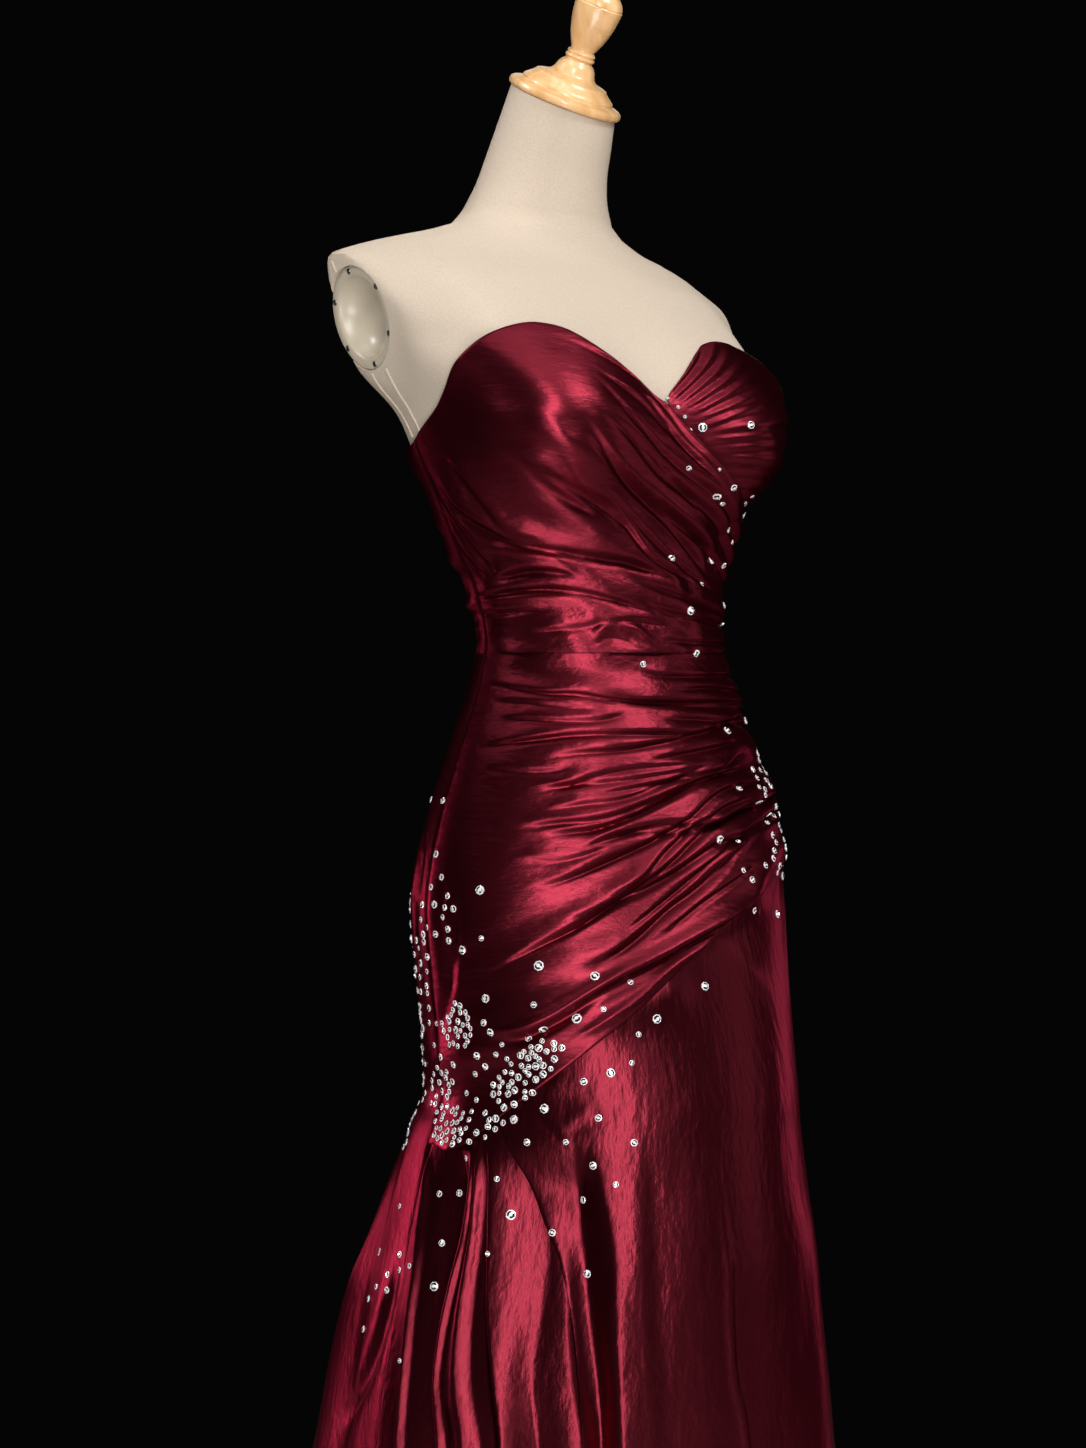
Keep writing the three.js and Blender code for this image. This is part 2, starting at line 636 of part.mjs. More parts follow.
function zipPull() {
  const { bar, pullWidth, pullTop, pullLength, pullThick, bridgeWidth, room } = ZIP;
  const outline = new THREE.Shape();
  const top = bar / 2;
  outline.moveTo(-pullTop / 2, top);
  outline.lineTo(-pullWidth / 2, -pullLength + 6);
  outline.lineTo(-pullWidth / 2, -pullLength + 2);
  outline.lineTo(-pullWidth / 4, -pullLength);
  outline.lineTo(pullWidth / 4, -pullLength);
  outline.lineTo(pullWidth / 2, -pullLength + 2);
  outline.lineTo(pullWidth / 2, -pullLength + 6);
  outline.lineTo(pullTop / 2, top);
  outline.closePath();
  const window = new THREE.Path();
  const half = bridgeWidth / 2 + room;
  const swing = Math.hypot(ZIP.bridgeReach + ZIP.bridgeThick, room + ZIP.bar + ZIP.bridgeThick) + room;
  window.moveTo(-half, -top);
  window.lineTo(half, -top);
  window.lineTo(half, -swing);
  window.lineTo(-half, -swing);
  window.closePath();
  outline.holes.push(window);
  const pull = new THREE.ExtrudeGeometry(outline, { depth: pullThick, bevelEnabled: false });
  pull.rotateX(Math.PI / 2);
  pull.translate(0, pullThick / 2, 0);
  const place = zipPlace().bar;
  pull.translate(place.x, place.y, place.z);
  return pull;
}

// ---- the whole object ----
const group = new THREE.Group();
for (const [name, patch] of Object.entries(clothPieces)) {
  group.add(named(name, clothWall(patch), TAFFETA));
}
group.add(named('zip_slider', zipSlider(), STEEL));
group.add(named('zip_pull', zipPull(), STEEL));
group.add(named('form_torso', torso(), COVER));
group.add(named('arm_socket_right', socketPlate(-1), IVORY));
group.add(named('arm_socket_left', socketPlate(1), IVORY));
group.add(named('neck_cap', neckCap(), BEECH));
group.add(...stand());

export default group;
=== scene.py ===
import math

import bpy
import numpy as np
from mathutils import Matrix, Vector


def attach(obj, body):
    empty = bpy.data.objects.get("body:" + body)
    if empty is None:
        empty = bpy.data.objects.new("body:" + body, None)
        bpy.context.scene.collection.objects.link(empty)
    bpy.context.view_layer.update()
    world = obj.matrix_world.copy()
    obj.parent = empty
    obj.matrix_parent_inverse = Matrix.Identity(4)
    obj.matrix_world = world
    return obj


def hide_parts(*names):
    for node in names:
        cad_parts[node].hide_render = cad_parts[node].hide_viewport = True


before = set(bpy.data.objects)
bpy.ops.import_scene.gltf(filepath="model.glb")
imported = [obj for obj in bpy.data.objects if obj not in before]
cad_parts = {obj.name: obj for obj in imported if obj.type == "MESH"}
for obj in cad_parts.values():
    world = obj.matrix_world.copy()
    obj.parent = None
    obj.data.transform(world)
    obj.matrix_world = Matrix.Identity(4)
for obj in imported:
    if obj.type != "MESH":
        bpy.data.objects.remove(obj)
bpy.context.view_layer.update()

# Tables are in millimetres and degrees. Angle 0 is the centre front, +90 the wearer's left side,
# -90 the right side and 180 the centre back. The form stands upright with its middle over the
# origin, and each section of it is a ring measured from its own middle.
MM = 0.001

# ---- the camera: level with the hip, thirty degrees round to the form's right ----
VIEW_TURN = math.radians(-30)
VIEW_DISTANCE = 3.1
VIEW_HEIGHT = 0.98
VIEW_ASIDE = 0.045             # the form stands this far to the right of the picture's middle
VIEW_LENS = 92.5
toward = Vector((math.sin(VIEW_TURN), -math.cos(VIEW_TURN), 0))
rightward = Vector((math.cos(VIEW_TURN), math.sin(VIEW_TURN), 0))


def aim(obj, eye, at):
    """Put a camera or light at eye and turn it to look at a point."""
    obj.location = eye
    obj.rotation_euler = (Vector(at) - Vector(eye)).to_track_quat("-Z", "Y").to_euler()


camera = bpy.data.objects.new("camera", bpy.data.cameras.new("camera"))
bpy.context.scene.collection.objects.link(camera)
camera.data.sensor_fit = "VERTICAL"
camera.data.sensor_height = 36
camera.data.lens = VIEW_LENS
view_middle = Vector((0, 0, VIEW_HEIGHT)) - rightward * VIEW_ASIDE
aim(camera, view_middle + toward * VIEW_DISTANCE, view_middle)
bpy.context.scene.camera = camera

# ---- the form's and the gown's sections ----
SECTION_COLUMNS = "height half_width front back middle_x middle_y square".split()
FORM = [
    (712, 132, 92, 98, 0, 0, 2.2), (780, 150, 102, 108, 0, 0, 2.2), (833, 157, 109, 113, 2, 0, 2.15),
    (867, 157, 110, 115, 4, 0, 2.1), (908, 150, 108, 109, 6, 0, 2), (933, 141, 106, 102, 5, 0, 2),
    (967, 129, 100, 92, 4, 0, 2), (1000, 116, 92, 82, 3, 0, 2), (1025, 109, 86, 77, 3, 0, 2),
    (1050, 105, 83, 75, 3, 0, 2), (1092, 110, 87, 83, 2, 8, 2), (1117, 119, 94, 94, 0, 15, 2),
    (1150, 132, 108, 104, 0, 23, 2), (1192, 144, 124, 112, -1, 34, 2.05),
    (1233, 153, 138, 108, -2, 46, 2.2), (1272, 184, 148, 92, -6, 68, 2.5),
    (1300, 193, 142, 84, -10, 79, 2.6), (1334, 199, 124, 70, -12, 95, 2.4),
    (1350, 200, 110, 64, -12, 102, 2.2), (1362, 192, 94, 58, -11, 106, 2),
    (1374, 162, 78, 55, -8, 106, 2), (1387, 110, 66, 54, -3, 104, 2), (1399, 79, 60, 54, 0, 102, 2),
]
SKIRT = [
    (13, 268, 246, 372, -4, 0, 2), (120, 250, 231, 346, -4, 0, 2), (250, 226, 212, 314, -4, 0, 2),
    (377, 205, 195, 276, -4, 0, 2), (447, 196, 194, 260, -4, 0, 2), (506, 187, 192, 240, -3, 0, 2),
    (550, 179, 190, 214, 0, 0, 2), (604, 169, 182, 184, 2, 0, 2), (650, 160, 172, 152, 5, 0, 2.05),
    (676, 155, 166, 131, 8, 0, 2.1), (725, 157, 150, 121, 6, 0, 2.15), (767, 160, 137, 120, 4, 0, 2.15),
    (833, 164, 120, 122, 2, 0, 2.15), (867, 163, 118, 121, 4, 0, 2.1), (912, 156, 115, 115, 6, 0, 2),
]
NECK = [  # middle x, middle y, height, half width, half depth, lean forward, lean aside
    (0, 100, 1412, 67, 56, 4, 4), (1, 94, 1433, 58, 53, 8, 5), (2, 86, 1457, 53, 50, 13, 6),
    (4, 76, 1482, 50, 48, 19, 8), (6, 66, 1508, 47, 46, 24, 10),
]
SLANT_RISE, SLANT_FROM, SLANT_TO = 0.07, 1060, 1260             # the right shoulder sits higher
BUST_ANGLE, BUST_HEIGHT, BUST_OUT, BUST_SPREAD, BUST_ABOVE, BUST_BELOW = 34, 1218, 44, 25, 58, 56
HOLLOWS = [(64, 16, 1206, 30, 17), (-116, 26, 1164, 48, 9)]     # angle, spread, height, spread, depth
EASE, BACK_EASE, CUP_EASE, WALL = 1.5, 1.3, 3.5, 1.5            # from the form to the gown's face
BACK_EASE_TURN, CUP_EASE_RISE = (82, 112), (1080, 1230)         # where the eases come in
HIP_END, HIP_TOP = 815, 905    # the gown leaves the form below the first and lies on it above the last
HEM, WAIST = 13, 1038
GATHERS = [  # from angle, from height, to angle, to height, out, width
    (-72, 1180, 20, 1092, 3.5, 11), (-52, 1222, 38, 1118, 3, 10), (-30, 1250, 40, 1142, 3, 10),
    (-80, 1128, 40, 1064, 3, 10), (-55, 1010, 70, 1012, 2.5, 9), (-45, 962, 84, 962, 3, 11),
    (-48, 905, 86, 938, 3.5, 12), (-30, 850, 88, 915, 4, 12), (-62, 772, 70, 885, 5, 14),
    (-80, 728, 46, 846, 5, 13), (-95, 700, 0, 768, 4, 13), (96, 940, 150, 968, 2.5, 11),
    (94, 905, 160, 900, 3, 12),
]
FLUTES = [  # start angle, start height, angle at the hem, out, width in degrees
    (-84, 670, -88, -16, 7), (-78, 680, -74, 24, 6.5), (-72, 650, -61, -14, 6),
    (-66, 640, -50, 13, 6.5), (-60, 620, -38, -10, 6), (-40, 640, -24, 11, 8), (2, 560, 6, 8, 9),
    (38, 600, 40, 12, 10), (66, 620, 66, -9, 9), (86, 640, 92, 15, 9), (112, 640, 118, -14, 9),
    (136, 640, 140, 18, 9), (158, 640, 162, -12, 8), (180, 620, 182, 16, 8),
    (-158, 640, -161, -12, 8), (-136, 650, -139, 20, 9), (-116, 660, -116, -16, 8),
    (-99, 670, -101, 14, 7),
]
# The gown's edges, as (angle, height).
TOP_EDGE = [
    (-180, 1196), (-150, 1197), (-115, 1198), (-95, 1201), (-84, 1213), (-74, 1225), (-65, 1239),
    (-52, 1265), (-43, 1284), (-34, 1295), (-28, 1296), (-22, 1292), (-15, 1279), (-7, 1260),
    (0, 1240), (4, 1251), (9, 1265), (18, 1287), (27, 1300), (35, 1302), (43, 1294), (52, 1274),
    (60, 1257), (75, 1232), (88, 1214), (115, 1201), (150, 1197), (180, 1196),
]
WRAP_EDGE = [
    (0, 1240), (6, 1219), (14, 1194), (26, 1170), (43, 1150), (63, 1126), (76, 1112), (90, 1098),
]
DRAPE_EDGE = [
    (-90, 646), (-80, 643), (-72, 650), (-66, 663), (-60, 677), (-49, 699), (-33, 732), (-19, 760),
    (-9, 779), (3, 799), (19, 822), (40, 845), (60, 868), (90, 896),
]
SIDE_PANEL_EDGE = [  # (height, angle)
    (13, -26), (200, -29), (415, -32), (508, -35), (557, -40), (580, -44), (619, -51), (647, -58),
    (668, -63),
]


def smooth_line(pairs):
    """A smooth curve through (place, value) pairs that holds its end values beyond them."""
    at = np.array([p[0] for p in pairs], float)
    value = np.array([p[1] for p in pairs], float)
    slope = np.empty_like(value)
    slope[1:-1] = (value[2:] - value[:-2]) / (at[2:] - at[:-2])
    slope[0] = (value[1] - value[0]) / (at[1] - at[0])
    slope[-1] = (value[-1] - value[-2]) / (at[-1] - at[-2])

    def read(where):
        where = np.clip(np.asarray(where, float), at[0], at[-1])
        i = np.clip(np.searchsorted(at, where, side="right") - 1, 0, len(at) - 2)
        step = at[i + 1] - at[i]
        t = (where - at[i]) / step
        bend = slope[i] * step * (t**3 - 2 * t**2 + t) + slope[i + 1] * step * (t**3 - t**2)
        return value[i] * (2 * t**3 - 3 * t**2 + 1) + value[i + 1] * (3 * t**2 - 2 * t**3) + bend

    return read


def section_lines(rows):
    """One smooth curve over the height for each column of a table of sections."""
    return {
        name: smooth_line([(row[0], row[i]) for row in rows])
        for i, name in enumerate(SECTION_COLUMNS)
        if i
    }


form_lines = section_lines(FORM)
skirt_lines = section_lines(SKIRT)
top_edge = smooth_line(TOP_EDGE)
wrap_edge = smooth_line(WRAP_EDGE)
drape_edge = smooth_line(DRAPE_EDGE)
side_panel_edge = smooth_line(SIDE_PANEL_EDGE)


def ease_step(value, low, high):
    """0 up to low and 1 from high on, with a soft rise between them; low may be the greater."""
    t = np.clip((np.asarray(value, float) - low) / (high - low), 0, 1)
    return t * t * (3 - 2 * t)


def bell(distance, width):
    return np.exp(-((distance / width) ** 2))


def turn_between(a, b):
    """The shorter way round from angle b to angle a."""
    return (np.asarray(a, float) - b + 180) % 360 - 180


def section_radius(lines, angle, height):
    """How far an oval section's edge is from its middle."""
    a = np.radians(angle)
    depth = np.where(np.cos(a) > 0, lines["front"](height), lines["back"](height))
    power = lines["square"](height)
    across = (np.abs(np.sin(a)) / lines["half_width"](height)) ** power
    return (across + (np.abs(np.cos(a)) / depth) ** power) ** (-1 / power)


def form_radius(angle, height):
    """The form's section with the bust laid on and the hollows taken out."""
    rise = np.asarray(height, float) - BUST_HEIGHT
    tall = np.where(rise > 0, bell(rise, BUST_ABOVE), np.exp(-((np.abs(rise) / BUST_BELOW) ** 3)))
    sides = bell(turn_between(angle, BUST_ANGLE), BUST_SPREAD)
    sides = sides + bell(turn_between(angle, -BUST_ANGLE), BUST_SPREAD)
    hollow = sum(deep * bell(turn_between(angle, at), wide) * bell(height - level, tall_way)
                 for at, wide, level, tall_way, deep in HOLLOWS)
    return section_radius(form_lines, angle, height) + BUST_OUT * tall * sides - hollow


GATHER_PER_DEGREE = 2.4        # millimetres round the body in one degree
GATHER_IN, GATHER_OUT = (-0.1, 0.25), (0.92, 1.05)              # shares of its length where it fades


def gather_height(angle, height):
    """How far the broad gathers stand out."""
    out = 0.0
    for start, low, end, high, lift, width in GATHERS:
        run_x, run_z = (end - start) * GATHER_PER_DEGREE, high - low
        x, z = turn_between(angle, start) * GATHER_PER_DEGREE, height - low
        length = math.hypot(run_x, run_z)
        along = (x * run_x + z * run_z) / length**2
        off = (x * run_z - z * run_x) / length
        held = ease_step(along, *GATHER_IN) * (1 - ease_step(along, *GATHER_OUT))
        out = out + lift * bell(off, width) * held
    return out


FLUTE_TURNS, FLUTE_OPENS = 0.6, 0.7    # powers of the share of the way down to the hem


def flute_height(angle, height):
    """How far the flared skirt's flutes stand out or in; they open towards the hem."""
    out = 0.0
    for start, top, end, lift, width in FLUTES:
        opened = np.clip((top - height) / (top - HEM), 0, 1)
        middle = start + (end - start) * opened**FLUTE_TURNS
        out = out + lift * opened**FLUTE_OPENS * bell(turn_between(angle, middle), width)
    return out


def gown_ring(angle, height, fluted=True):
    """The outer face's radius and the middle it is measured from."""
    share = ease_step(height, HIP_END, HIP_TOP)
    ease = EASE + WALL + BACK_EASE * ease_step(np.abs(turn_between(angle, 0)), *BACK_EASE_TURN)
    ease = ease + CUP_EASE * ease_step(height, *CUP_EASE_RISE)
    free = section_radius(skirt_lines, angle, height)
    if fluted:
        free = free + flute_height(angle, height)
    radius = free + (form_radius(angle, height) + ease - free) * share
    middle_x = skirt_lines["middle_x"](height) * (1 - share) + form_lines["middle_x"](height) * share
    middle_y = skirt_lines["middle_y"](height) * (1 - share) + form_lines["middle_y"](height) * share
    return radius + gather_height(angle, height), middle_x, middle_y


def place(angle, height, radius, middle_x, middle_y):
    """Points in millimetres, with the chest slanting down to the wearer's left."""
    a = np.radians(angle)
    x = middle_x + radius * np.sin(a)
    y = middle_y - radius * np.cos(a)
    z = height - x * SLANT_RISE * ease_step(height, SLANT_FROM, SLANT_TO)
    return np.stack([x, y, np.broadcast_to(z, x.shape)], axis=-1)


# ---- where a mark that is seen from the front right lies on the gown ----
SEEN_ANGLES = np.arange(-124, 66, 0.5)
# How far the face stands out towards the camera is found in a few rounds from a first guess.
PLACING_ROUNDS, FIRST_DEPTH = 4, 100.0


def on_gown(across, height):
    """The angle and height of a point that shows this far across from the form's axis."""
    true_height = float(height)
    angle, depth = 0.0, FIRST_DEPTH
    for _ in range(PLACING_ROUNDS):
        shrink = (VIEW_DISTANCE / MM - depth) / (VIEW_DISTANCE / MM)
        true_across = (across + VIEW_ASIDE / MM) * shrink - VIEW_ASIDE / MM
        true_height = VIEW_HEIGHT / MM + (height - VIEW_HEIGHT / MM) * shrink
        radius, middle_x, middle_y = gown_ring(SEEN_ANGLES, true_height, fluted=False)
        points = place(SEEN_ANGLES, true_height, radius, middle_x, middle_y)
        shows = points[:, 0] * rightward.x + points[:, 1] * rightward.y
        if true_across <= shows.min():
            i = int(shows.argmin())
        elif true_across >= shows.max():
            i = int(shows.argmax())
        else:
            i = int(np.abs(shows - true_across).argmin())
        angle = float(SEEN_ANGLES[i])
        depth = float(points[i, 0] * toward.x + points[i, 1] * toward.y)
    rise = float(points[i, 2]) - true_height
    return angle, true_height - rise


# ---- creases ----
# Each row: kind, depth, half width, then (across, height) marks as seen from the front right.
# A tuck is a narrow valley with the cloth rolling over it on its upper side.
BODICE_CREASES = [
    ("tuck", 1.3, 3.0, (-40, 1306), (28, 1272), (73, 1218), (109, 1168)),
    ("tuck", 1.6, 3.0, (-9, 1278), (28, 1255), (70, 1213), (101, 1173)),
    ("tuck", 2.2, 3.6, (-12, 1277), (33, 1232), (78, 1184), (109, 1137)),
    ("tuck", 2.2, 3.8, (-15, 1257), (28, 1218), (64, 1178), (107, 1119)),
    ("tuck", 3.0, 5.5, (-20, 1247), (17, 1196), (56, 1156), (95, 1119)),
    ("tuck", 2.2, 3.8, (-6, 1221), (22, 1184), (50, 1156), (93, 1100)),
    ("tuck", 2.0, 3.4, (-20, 1182), (17, 1156), (44, 1119), (78, 1100)),
    ("tuck", 1.8, 2.4, (-38, 1213), (-20, 1184), (-6, 1170), (28, 1139)),
    ("tuck", 2.4, 3.4, (-85, 1208), (-57, 1196), (-29, 1182), (8, 1156)),
    ("tuck", 2.0, 3.6, (-74, 1204), (-34, 1173), (-1, 1153)),
    ("tuck", 3.2, 5.0, (-142, 1196), (-122, 1162), (-88, 1139), (-57, 1128), (-1, 1119), (28, 1114),
     (64, 1100)),
    ("tuck", 2.2, 3.6, (-133, 1207), (-97, 1162), (-74, 1139), (-40, 1131)),
    ("tuck", 2.2, 4.0, (-153, 1207), (-133, 1167), (-97, 1119), (-79, 1102)),
    ("tuck", 2.2, 3.4, (-128, 1145), (-108, 1117), (-93, 1102)),
    ("tuck", 3.0, 4.0, (-85, 1100), (-57, 1107), (-29, 1106), (-15, 1100)),
    ("tuck", 2.6, 3.4, (-113, 1094), (-97, 1087), (-29, 1092), (50, 1072)),
    ("ridge", 1.8, 4.0, (-108, 1083), (-57, 1086), (-12, 1082)),
    ("tuck", 2.0, 3.0, (-108, 1055), (-97, 1066), (-71, 1074), (-40, 1076)),
    ("ridge", 1.6, 3.6, (-6, 1054), (12, 1064), (30, 1061), (38, 1055), (50, 1045)),
    ("trough", 1.5, 3.2, (-6, 1043), (8, 1050), (18, 1051), (36, 1045)),
    ("tuck", 2.0, 3.2, (-105, 1040), (-57, 1036), (-1, 1035), (103, 1037)),
    ("tuck", 1.6, 3.2, (34, 1258), (66, 1220), (92, 1190)),
    ("tuck", 1.6, 3.0, (10, 1240), (44, 1204), (82, 1158)),
    ("tuck", 1.8, 3.2, (40, 1180), (70, 1146), (104, 1106)),
    ("tuck", 1.6, 3.0, (0, 1184), (30, 1150), (62, 1118), (96, 1090)),
    ("tuck", 1.8, 3.4, (20, 1106), (60, 1090), (100, 1074)),
    ("tuck", 1.6, 3.0, (30, 1084), (64, 1072), (104, 1062)),
    ("tuck", 1.4, 3.0, (-90, 1124), (-60, 1118), (-20, 1112)),
    ("tuck", 1.4, 3.0, (-60, 1056), (-20, 1060), (20, 1066), (60, 1062)),
    ("tuck", 1.2, 2.6, (50, 1050), (80, 1048), (106, 1046)),
    ("ridge", 1.6, 9.0, (-78, 1252), (-40, 1232), (-8, 1196), (20, 1160)),
    ("ridge", 1.6, 14.0, (-84, 1200), (-50, 1176), (-20, 1152), (14, 1130)),
]
HIP_CREASES = [
    ("tuck", 1.6, 3.0, (28, 1027), (56, 1020), (107, 1020)),
    ("tuck", 2.2, 3.0, (-101, 1017), (-50, 1006), (-17, 1005), (30, 999), (112, 998)),
    ("tuck", 2.0, 3.0, (11, 993), (30, 997), (77, 995), (119, 993)),
    ("tuck", 1.8, 3.2, (-83, 986), (-50, 983), (-3, 983), (25, 988)),
    ("tuck", 2.6, 3.5, (-102, 960), (-50, 967), (-17, 971), (30, 972), (91, 972)),
    ("tuck", 2.6, 4.0, (-54, 951), (-17, 956), (30, 960), (93, 974), (121, 991)),
    ("tuck", 2.0, 3.4, (-54, 925), (-17, 930), (30, 934), (88, 946)),
    ("tuck", 2.4, 3.6, (-3, 922), (30, 927), (53, 932), (100, 943), (123, 956)),
    ("tuck", 3.2, 4.0, (-76, 893), (-36, 897), (7, 902), (44, 916), (86, 934), (121, 943)),
    ("tuck", 2.4, 3.4, (-54, 890), (-8, 892), (30, 904), (77, 927), (121, 946)),
    ("tuck", 2.4, 3.6, (-13, 876), (21, 890), (68, 890), (100, 899), (133, 916)),
    ("tuck", 2.8, 4.0, (-63, 844), (-36, 848), (10, 866), (56, 889), (99, 922), (132, 933)),
    ("tuck", 2.0, 3.2, (-49, 888), (-18, 891), (6, 894), (56, 916), (81, 929)),
    ("tuck", 2.0, 3.4, (-49, 907), (-13, 913), (22, 918), (68, 937), (88, 947)),
    ("tuck", 1.8, 3.2, (-56, 927), (-24, 929), (1, 937), (33, 943), (78, 947)),
    ("tuck", 2.2, 3.6, (-13, 877), (17, 886), (56, 897), (111, 898)),
    ("tuck", 3.4, 4.5, (-93, 770), (-45, 797), (-13, 813), (24, 838), (56, 861), (90, 893),
     (118, 909), (138, 916)),
    ("tuck", 3.6, 6.0, (-38, 815), (-8, 822), (17, 832), (56, 852), (97, 879), (123, 888), (140, 900)),
    ("tuck", 3.4, 6.0, (-13, 779), (17, 790), (56, 822), (86, 845), (113, 870), (132, 888)),
    ("tuck", 2.2, 3.6, (6, 836), (33, 849), (56, 875), (92, 906), (126, 922)),
    ("ridge", 5.0, 6.4, (-111, 742), (-98, 733), (-77, 725), (-45, 733), (-13, 749), (22, 772),
     (56, 790), (79, 804), (102, 817), (136, 843)),
    ("trough", 4.2, 4.0, (-106, 732), (-70, 717), (-36, 730), (10, 760), (56, 783), (102, 811), (134, 832)),
    ("ridge", 2.0, 3.4, (-27, 715), (-1, 728), (33, 752), (68, 783), (104, 806)),
    ("tuck", 1.8, 3.0, (60, 1008), (90, 1010), (120, 1006)),
    ("tuck", 1.8, 3.0, (50, 984), (84, 984), (118, 980)),
    ("tuck", 1.8, 3.2, (40, 950), (76, 956), (118, 966)),
    ("tuck", 2.0, 3.4, (20, 806), (60, 838), (96, 868), (130, 900)),
    ("tuck", 2.0, 3.4, (56, 806), (90, 832), (132, 862)),
    ("tuck", 1.2, 3.0, (-88, 1000), (-40, 996), (0, 992)),
    ("tuck", 1.2, 3.0, (-96, 944), (-60, 940), (-20, 942)),
    ("tuck", 1.4, 3.4, (-70, 868), (-30, 866), (10, 878)),
    ("trough", 1.8, 5.0, (-138, 917), (-149, 833), (-156, 808)),
    ("trough", 1.8, 5.0, (-143, 892), (-148, 850), (-141, 829)),
    ("trough", 1.8, 5.0, (-125, 858), (-131, 808), (-121, 750)),
    ("trough", 1.6, 5.0, (-114, 850), (-121, 783), (-131, 717)),
]
# The left cup's fan of pleats: start on the wrapped edge, end towards the top and the side.
CUP_CREASES = [
    ("tuck", 1.5, 2.6, (60, 1252), (72, 1266), (92, 1300)),
    ("tuck", 1.6, 2.6, (63, 1246), (78, 1262), (108, 1302)),
    ("tuck", 1.7, 2.8, (67, 1240), (84, 1256), (122, 1298)),
    ("tuck", 1.8, 2.8, (70, 1235), (90, 1250), (134, 1288)),
    ("tuck", 1.8, 2.8, (73, 1230), (96, 1244), (143, 1274)),
    ("tuck", 1.8, 2.8, (77, 1225), (102, 1238), (148, 1258)),
    ("tuck", 1.9, 2.8, (80, 1220), (106, 1231), (150, 1246)),
    ("tuck", 1.9, 2.8, (84, 1215), (110, 1223), (151, 1231)),
    ("tuck", 1.9, 2.8, (87, 1210), (114, 1215), (150, 1217)),
    ("tuck", 1.9, 2.8, (91, 1204), (116, 1207), (148, 1205)),
    ("tuck", 1.8, 2.8, (95, 1198), (118, 1198), (144, 1192)),
    ("tuck", 1.7, 2.8, (98, 1190), (118, 1189), (136, 1184)),
    ("tuck", 1.6, 2.8, (102, 1182), (118, 1180), (132, 1173)),
    ("tuck", 1.5, 2.8, (106, 1172), (118, 1168), (128, 1160)),
]
SKIRT_CREASES = [
    ("tuck", 2.2, 3.6, (-45, 676), (-13, 667), (10, 653)),
    ("tuck", 1.8, 3.0, (-53, 658), (-27, 633)),
    ("tuck", 1.6, 3.0, (-28, 639), (1, 653)),
    ("ridge", 3.2, 2.8, (99, 628), (104, 579), (110, 528), (111, 474), (115, 431), (124, 377),
     (134, 240), (142, 60)),
]
FLARE_CREASES = [
    ("trough", 7.0, 9.0, (-160, 540), (-166, 522), (-176, 488), (-187, 451), (-202, 419), (-226, 400)),
]
# The hanging folds from the drape's point down: lines from the side seam round to the front, with
# the cloth running from one to the next.
FOLD_HEIGHTS = (645, 602, 559, 516, 431, 377, 30)
HANGING_FOLDS = [  # how far across at each height, and the lift there
    ((-149, -167, -182, -194, -219, -230, -262), (0, 0, 0, 0, 0, 0, 0)),
    ((-143, -144, -150, -154, -164, -168, -190), (1, 1, 1, 1, 1, 1, 2)),
    ((-140, -140, -144, -150, -161, -164, -185), (-3, -4, -4, -5, -6, -6, -8)),
    ((-116, -117, -124, -132, -143, -144, -158), (-8, -14, -15, -15, -13, -14, -18)),
    ((-101, -107, -113, -124, -139, -136, -148), (-1, -1, -1, -1, -1, -1, 0)),
    ((-99, -105, -110, -120, -134, -130, -142), (-3, -5, -6, -7, -6, -7, -8)),
    ((-97, -104, -108, -114, -122, -114, -122), (-1, -1, -1, -1, -1, -1, 0)),
    ((-95, -97, -100, -104, -109, -102, -106), (-4, -8, -9, -9, -9, -9, -12)),
    ((-93, -94, -96, -96, -94, -89, -90), (-5, -9, -10, -10, -9, -9, -12)),
    ((-91, -91, -92, -93, -87, -82, -80), (0, 0, 0, 0, 0, 0, 2)),
    ((-82, -64, -47, -46, -58, -53, -48), (-3, -13, -18, -18, -14, -16, -20)),
    ((-79, -60, -42, -30, -22, -13, -6), (-3, -13, -18, -17, -11, -8.5, -8)),
    ((-23, -22, -18, -17, -9, 1, 10), (-5, -17, -21, -21, -19, -18, -20)),
    ((-20, -18, -14, -10, 1, 5, 15), (-5, -18, -22, -22, -20, -19, -21)),
    ((3, 4, 13, 16, 20, 21, 34), (0, -1, -1, -1, -1, 0, 2)),
    ((31, 33, 35, 38, 42, 45, 62), (0, -1, -1, -1, -1, -1, 0)),
    ((45, 47, 49, 52, 57, 60, 80), (-2.5, -3.6, -3.6, -3.6, -3.6, -3.2, -2)),
    ((104, 104, 105, 107, 112, 116, 132), (0, 0, 0, 0, 0, 0, 0)),
]
# Millimetres round the gown in one degree.
PER_DEGREE = {"bodice": 2.3, "cup": 2.3, "hip": 2.5, "skirt": 3.6, "flare": 3.6}


def smooth_path(points, steps=7):
    """Points along a smooth curve through the given ones."""
    points = np.array(points, float)
    ends = np.vstack([2 * points[0] - points[1], points, 2 * points[-1] - points[-2]])
    out = []
    for i in range(1, len(points)):
        a, b, c, d = ends[i - 1 : i + 3]
        for t in np.arange(steps) / steps:
            bend = (2 * a - 5 * b + 4 * c - d) * t**2
            out.append(0.5 * (2 * b + (c - a) * t + bend + (3 * b - a - 3 * c + d) * t**3))
    out.append(points[-1])
    return np.array(out)


CARRIED_FROM, CARRIED_TO = 50, 88      # creases that end past the first angle run on to the second
LEAST_RUN, STEEPEST = 4, 0.5           # in degrees, and in millimetres a degree


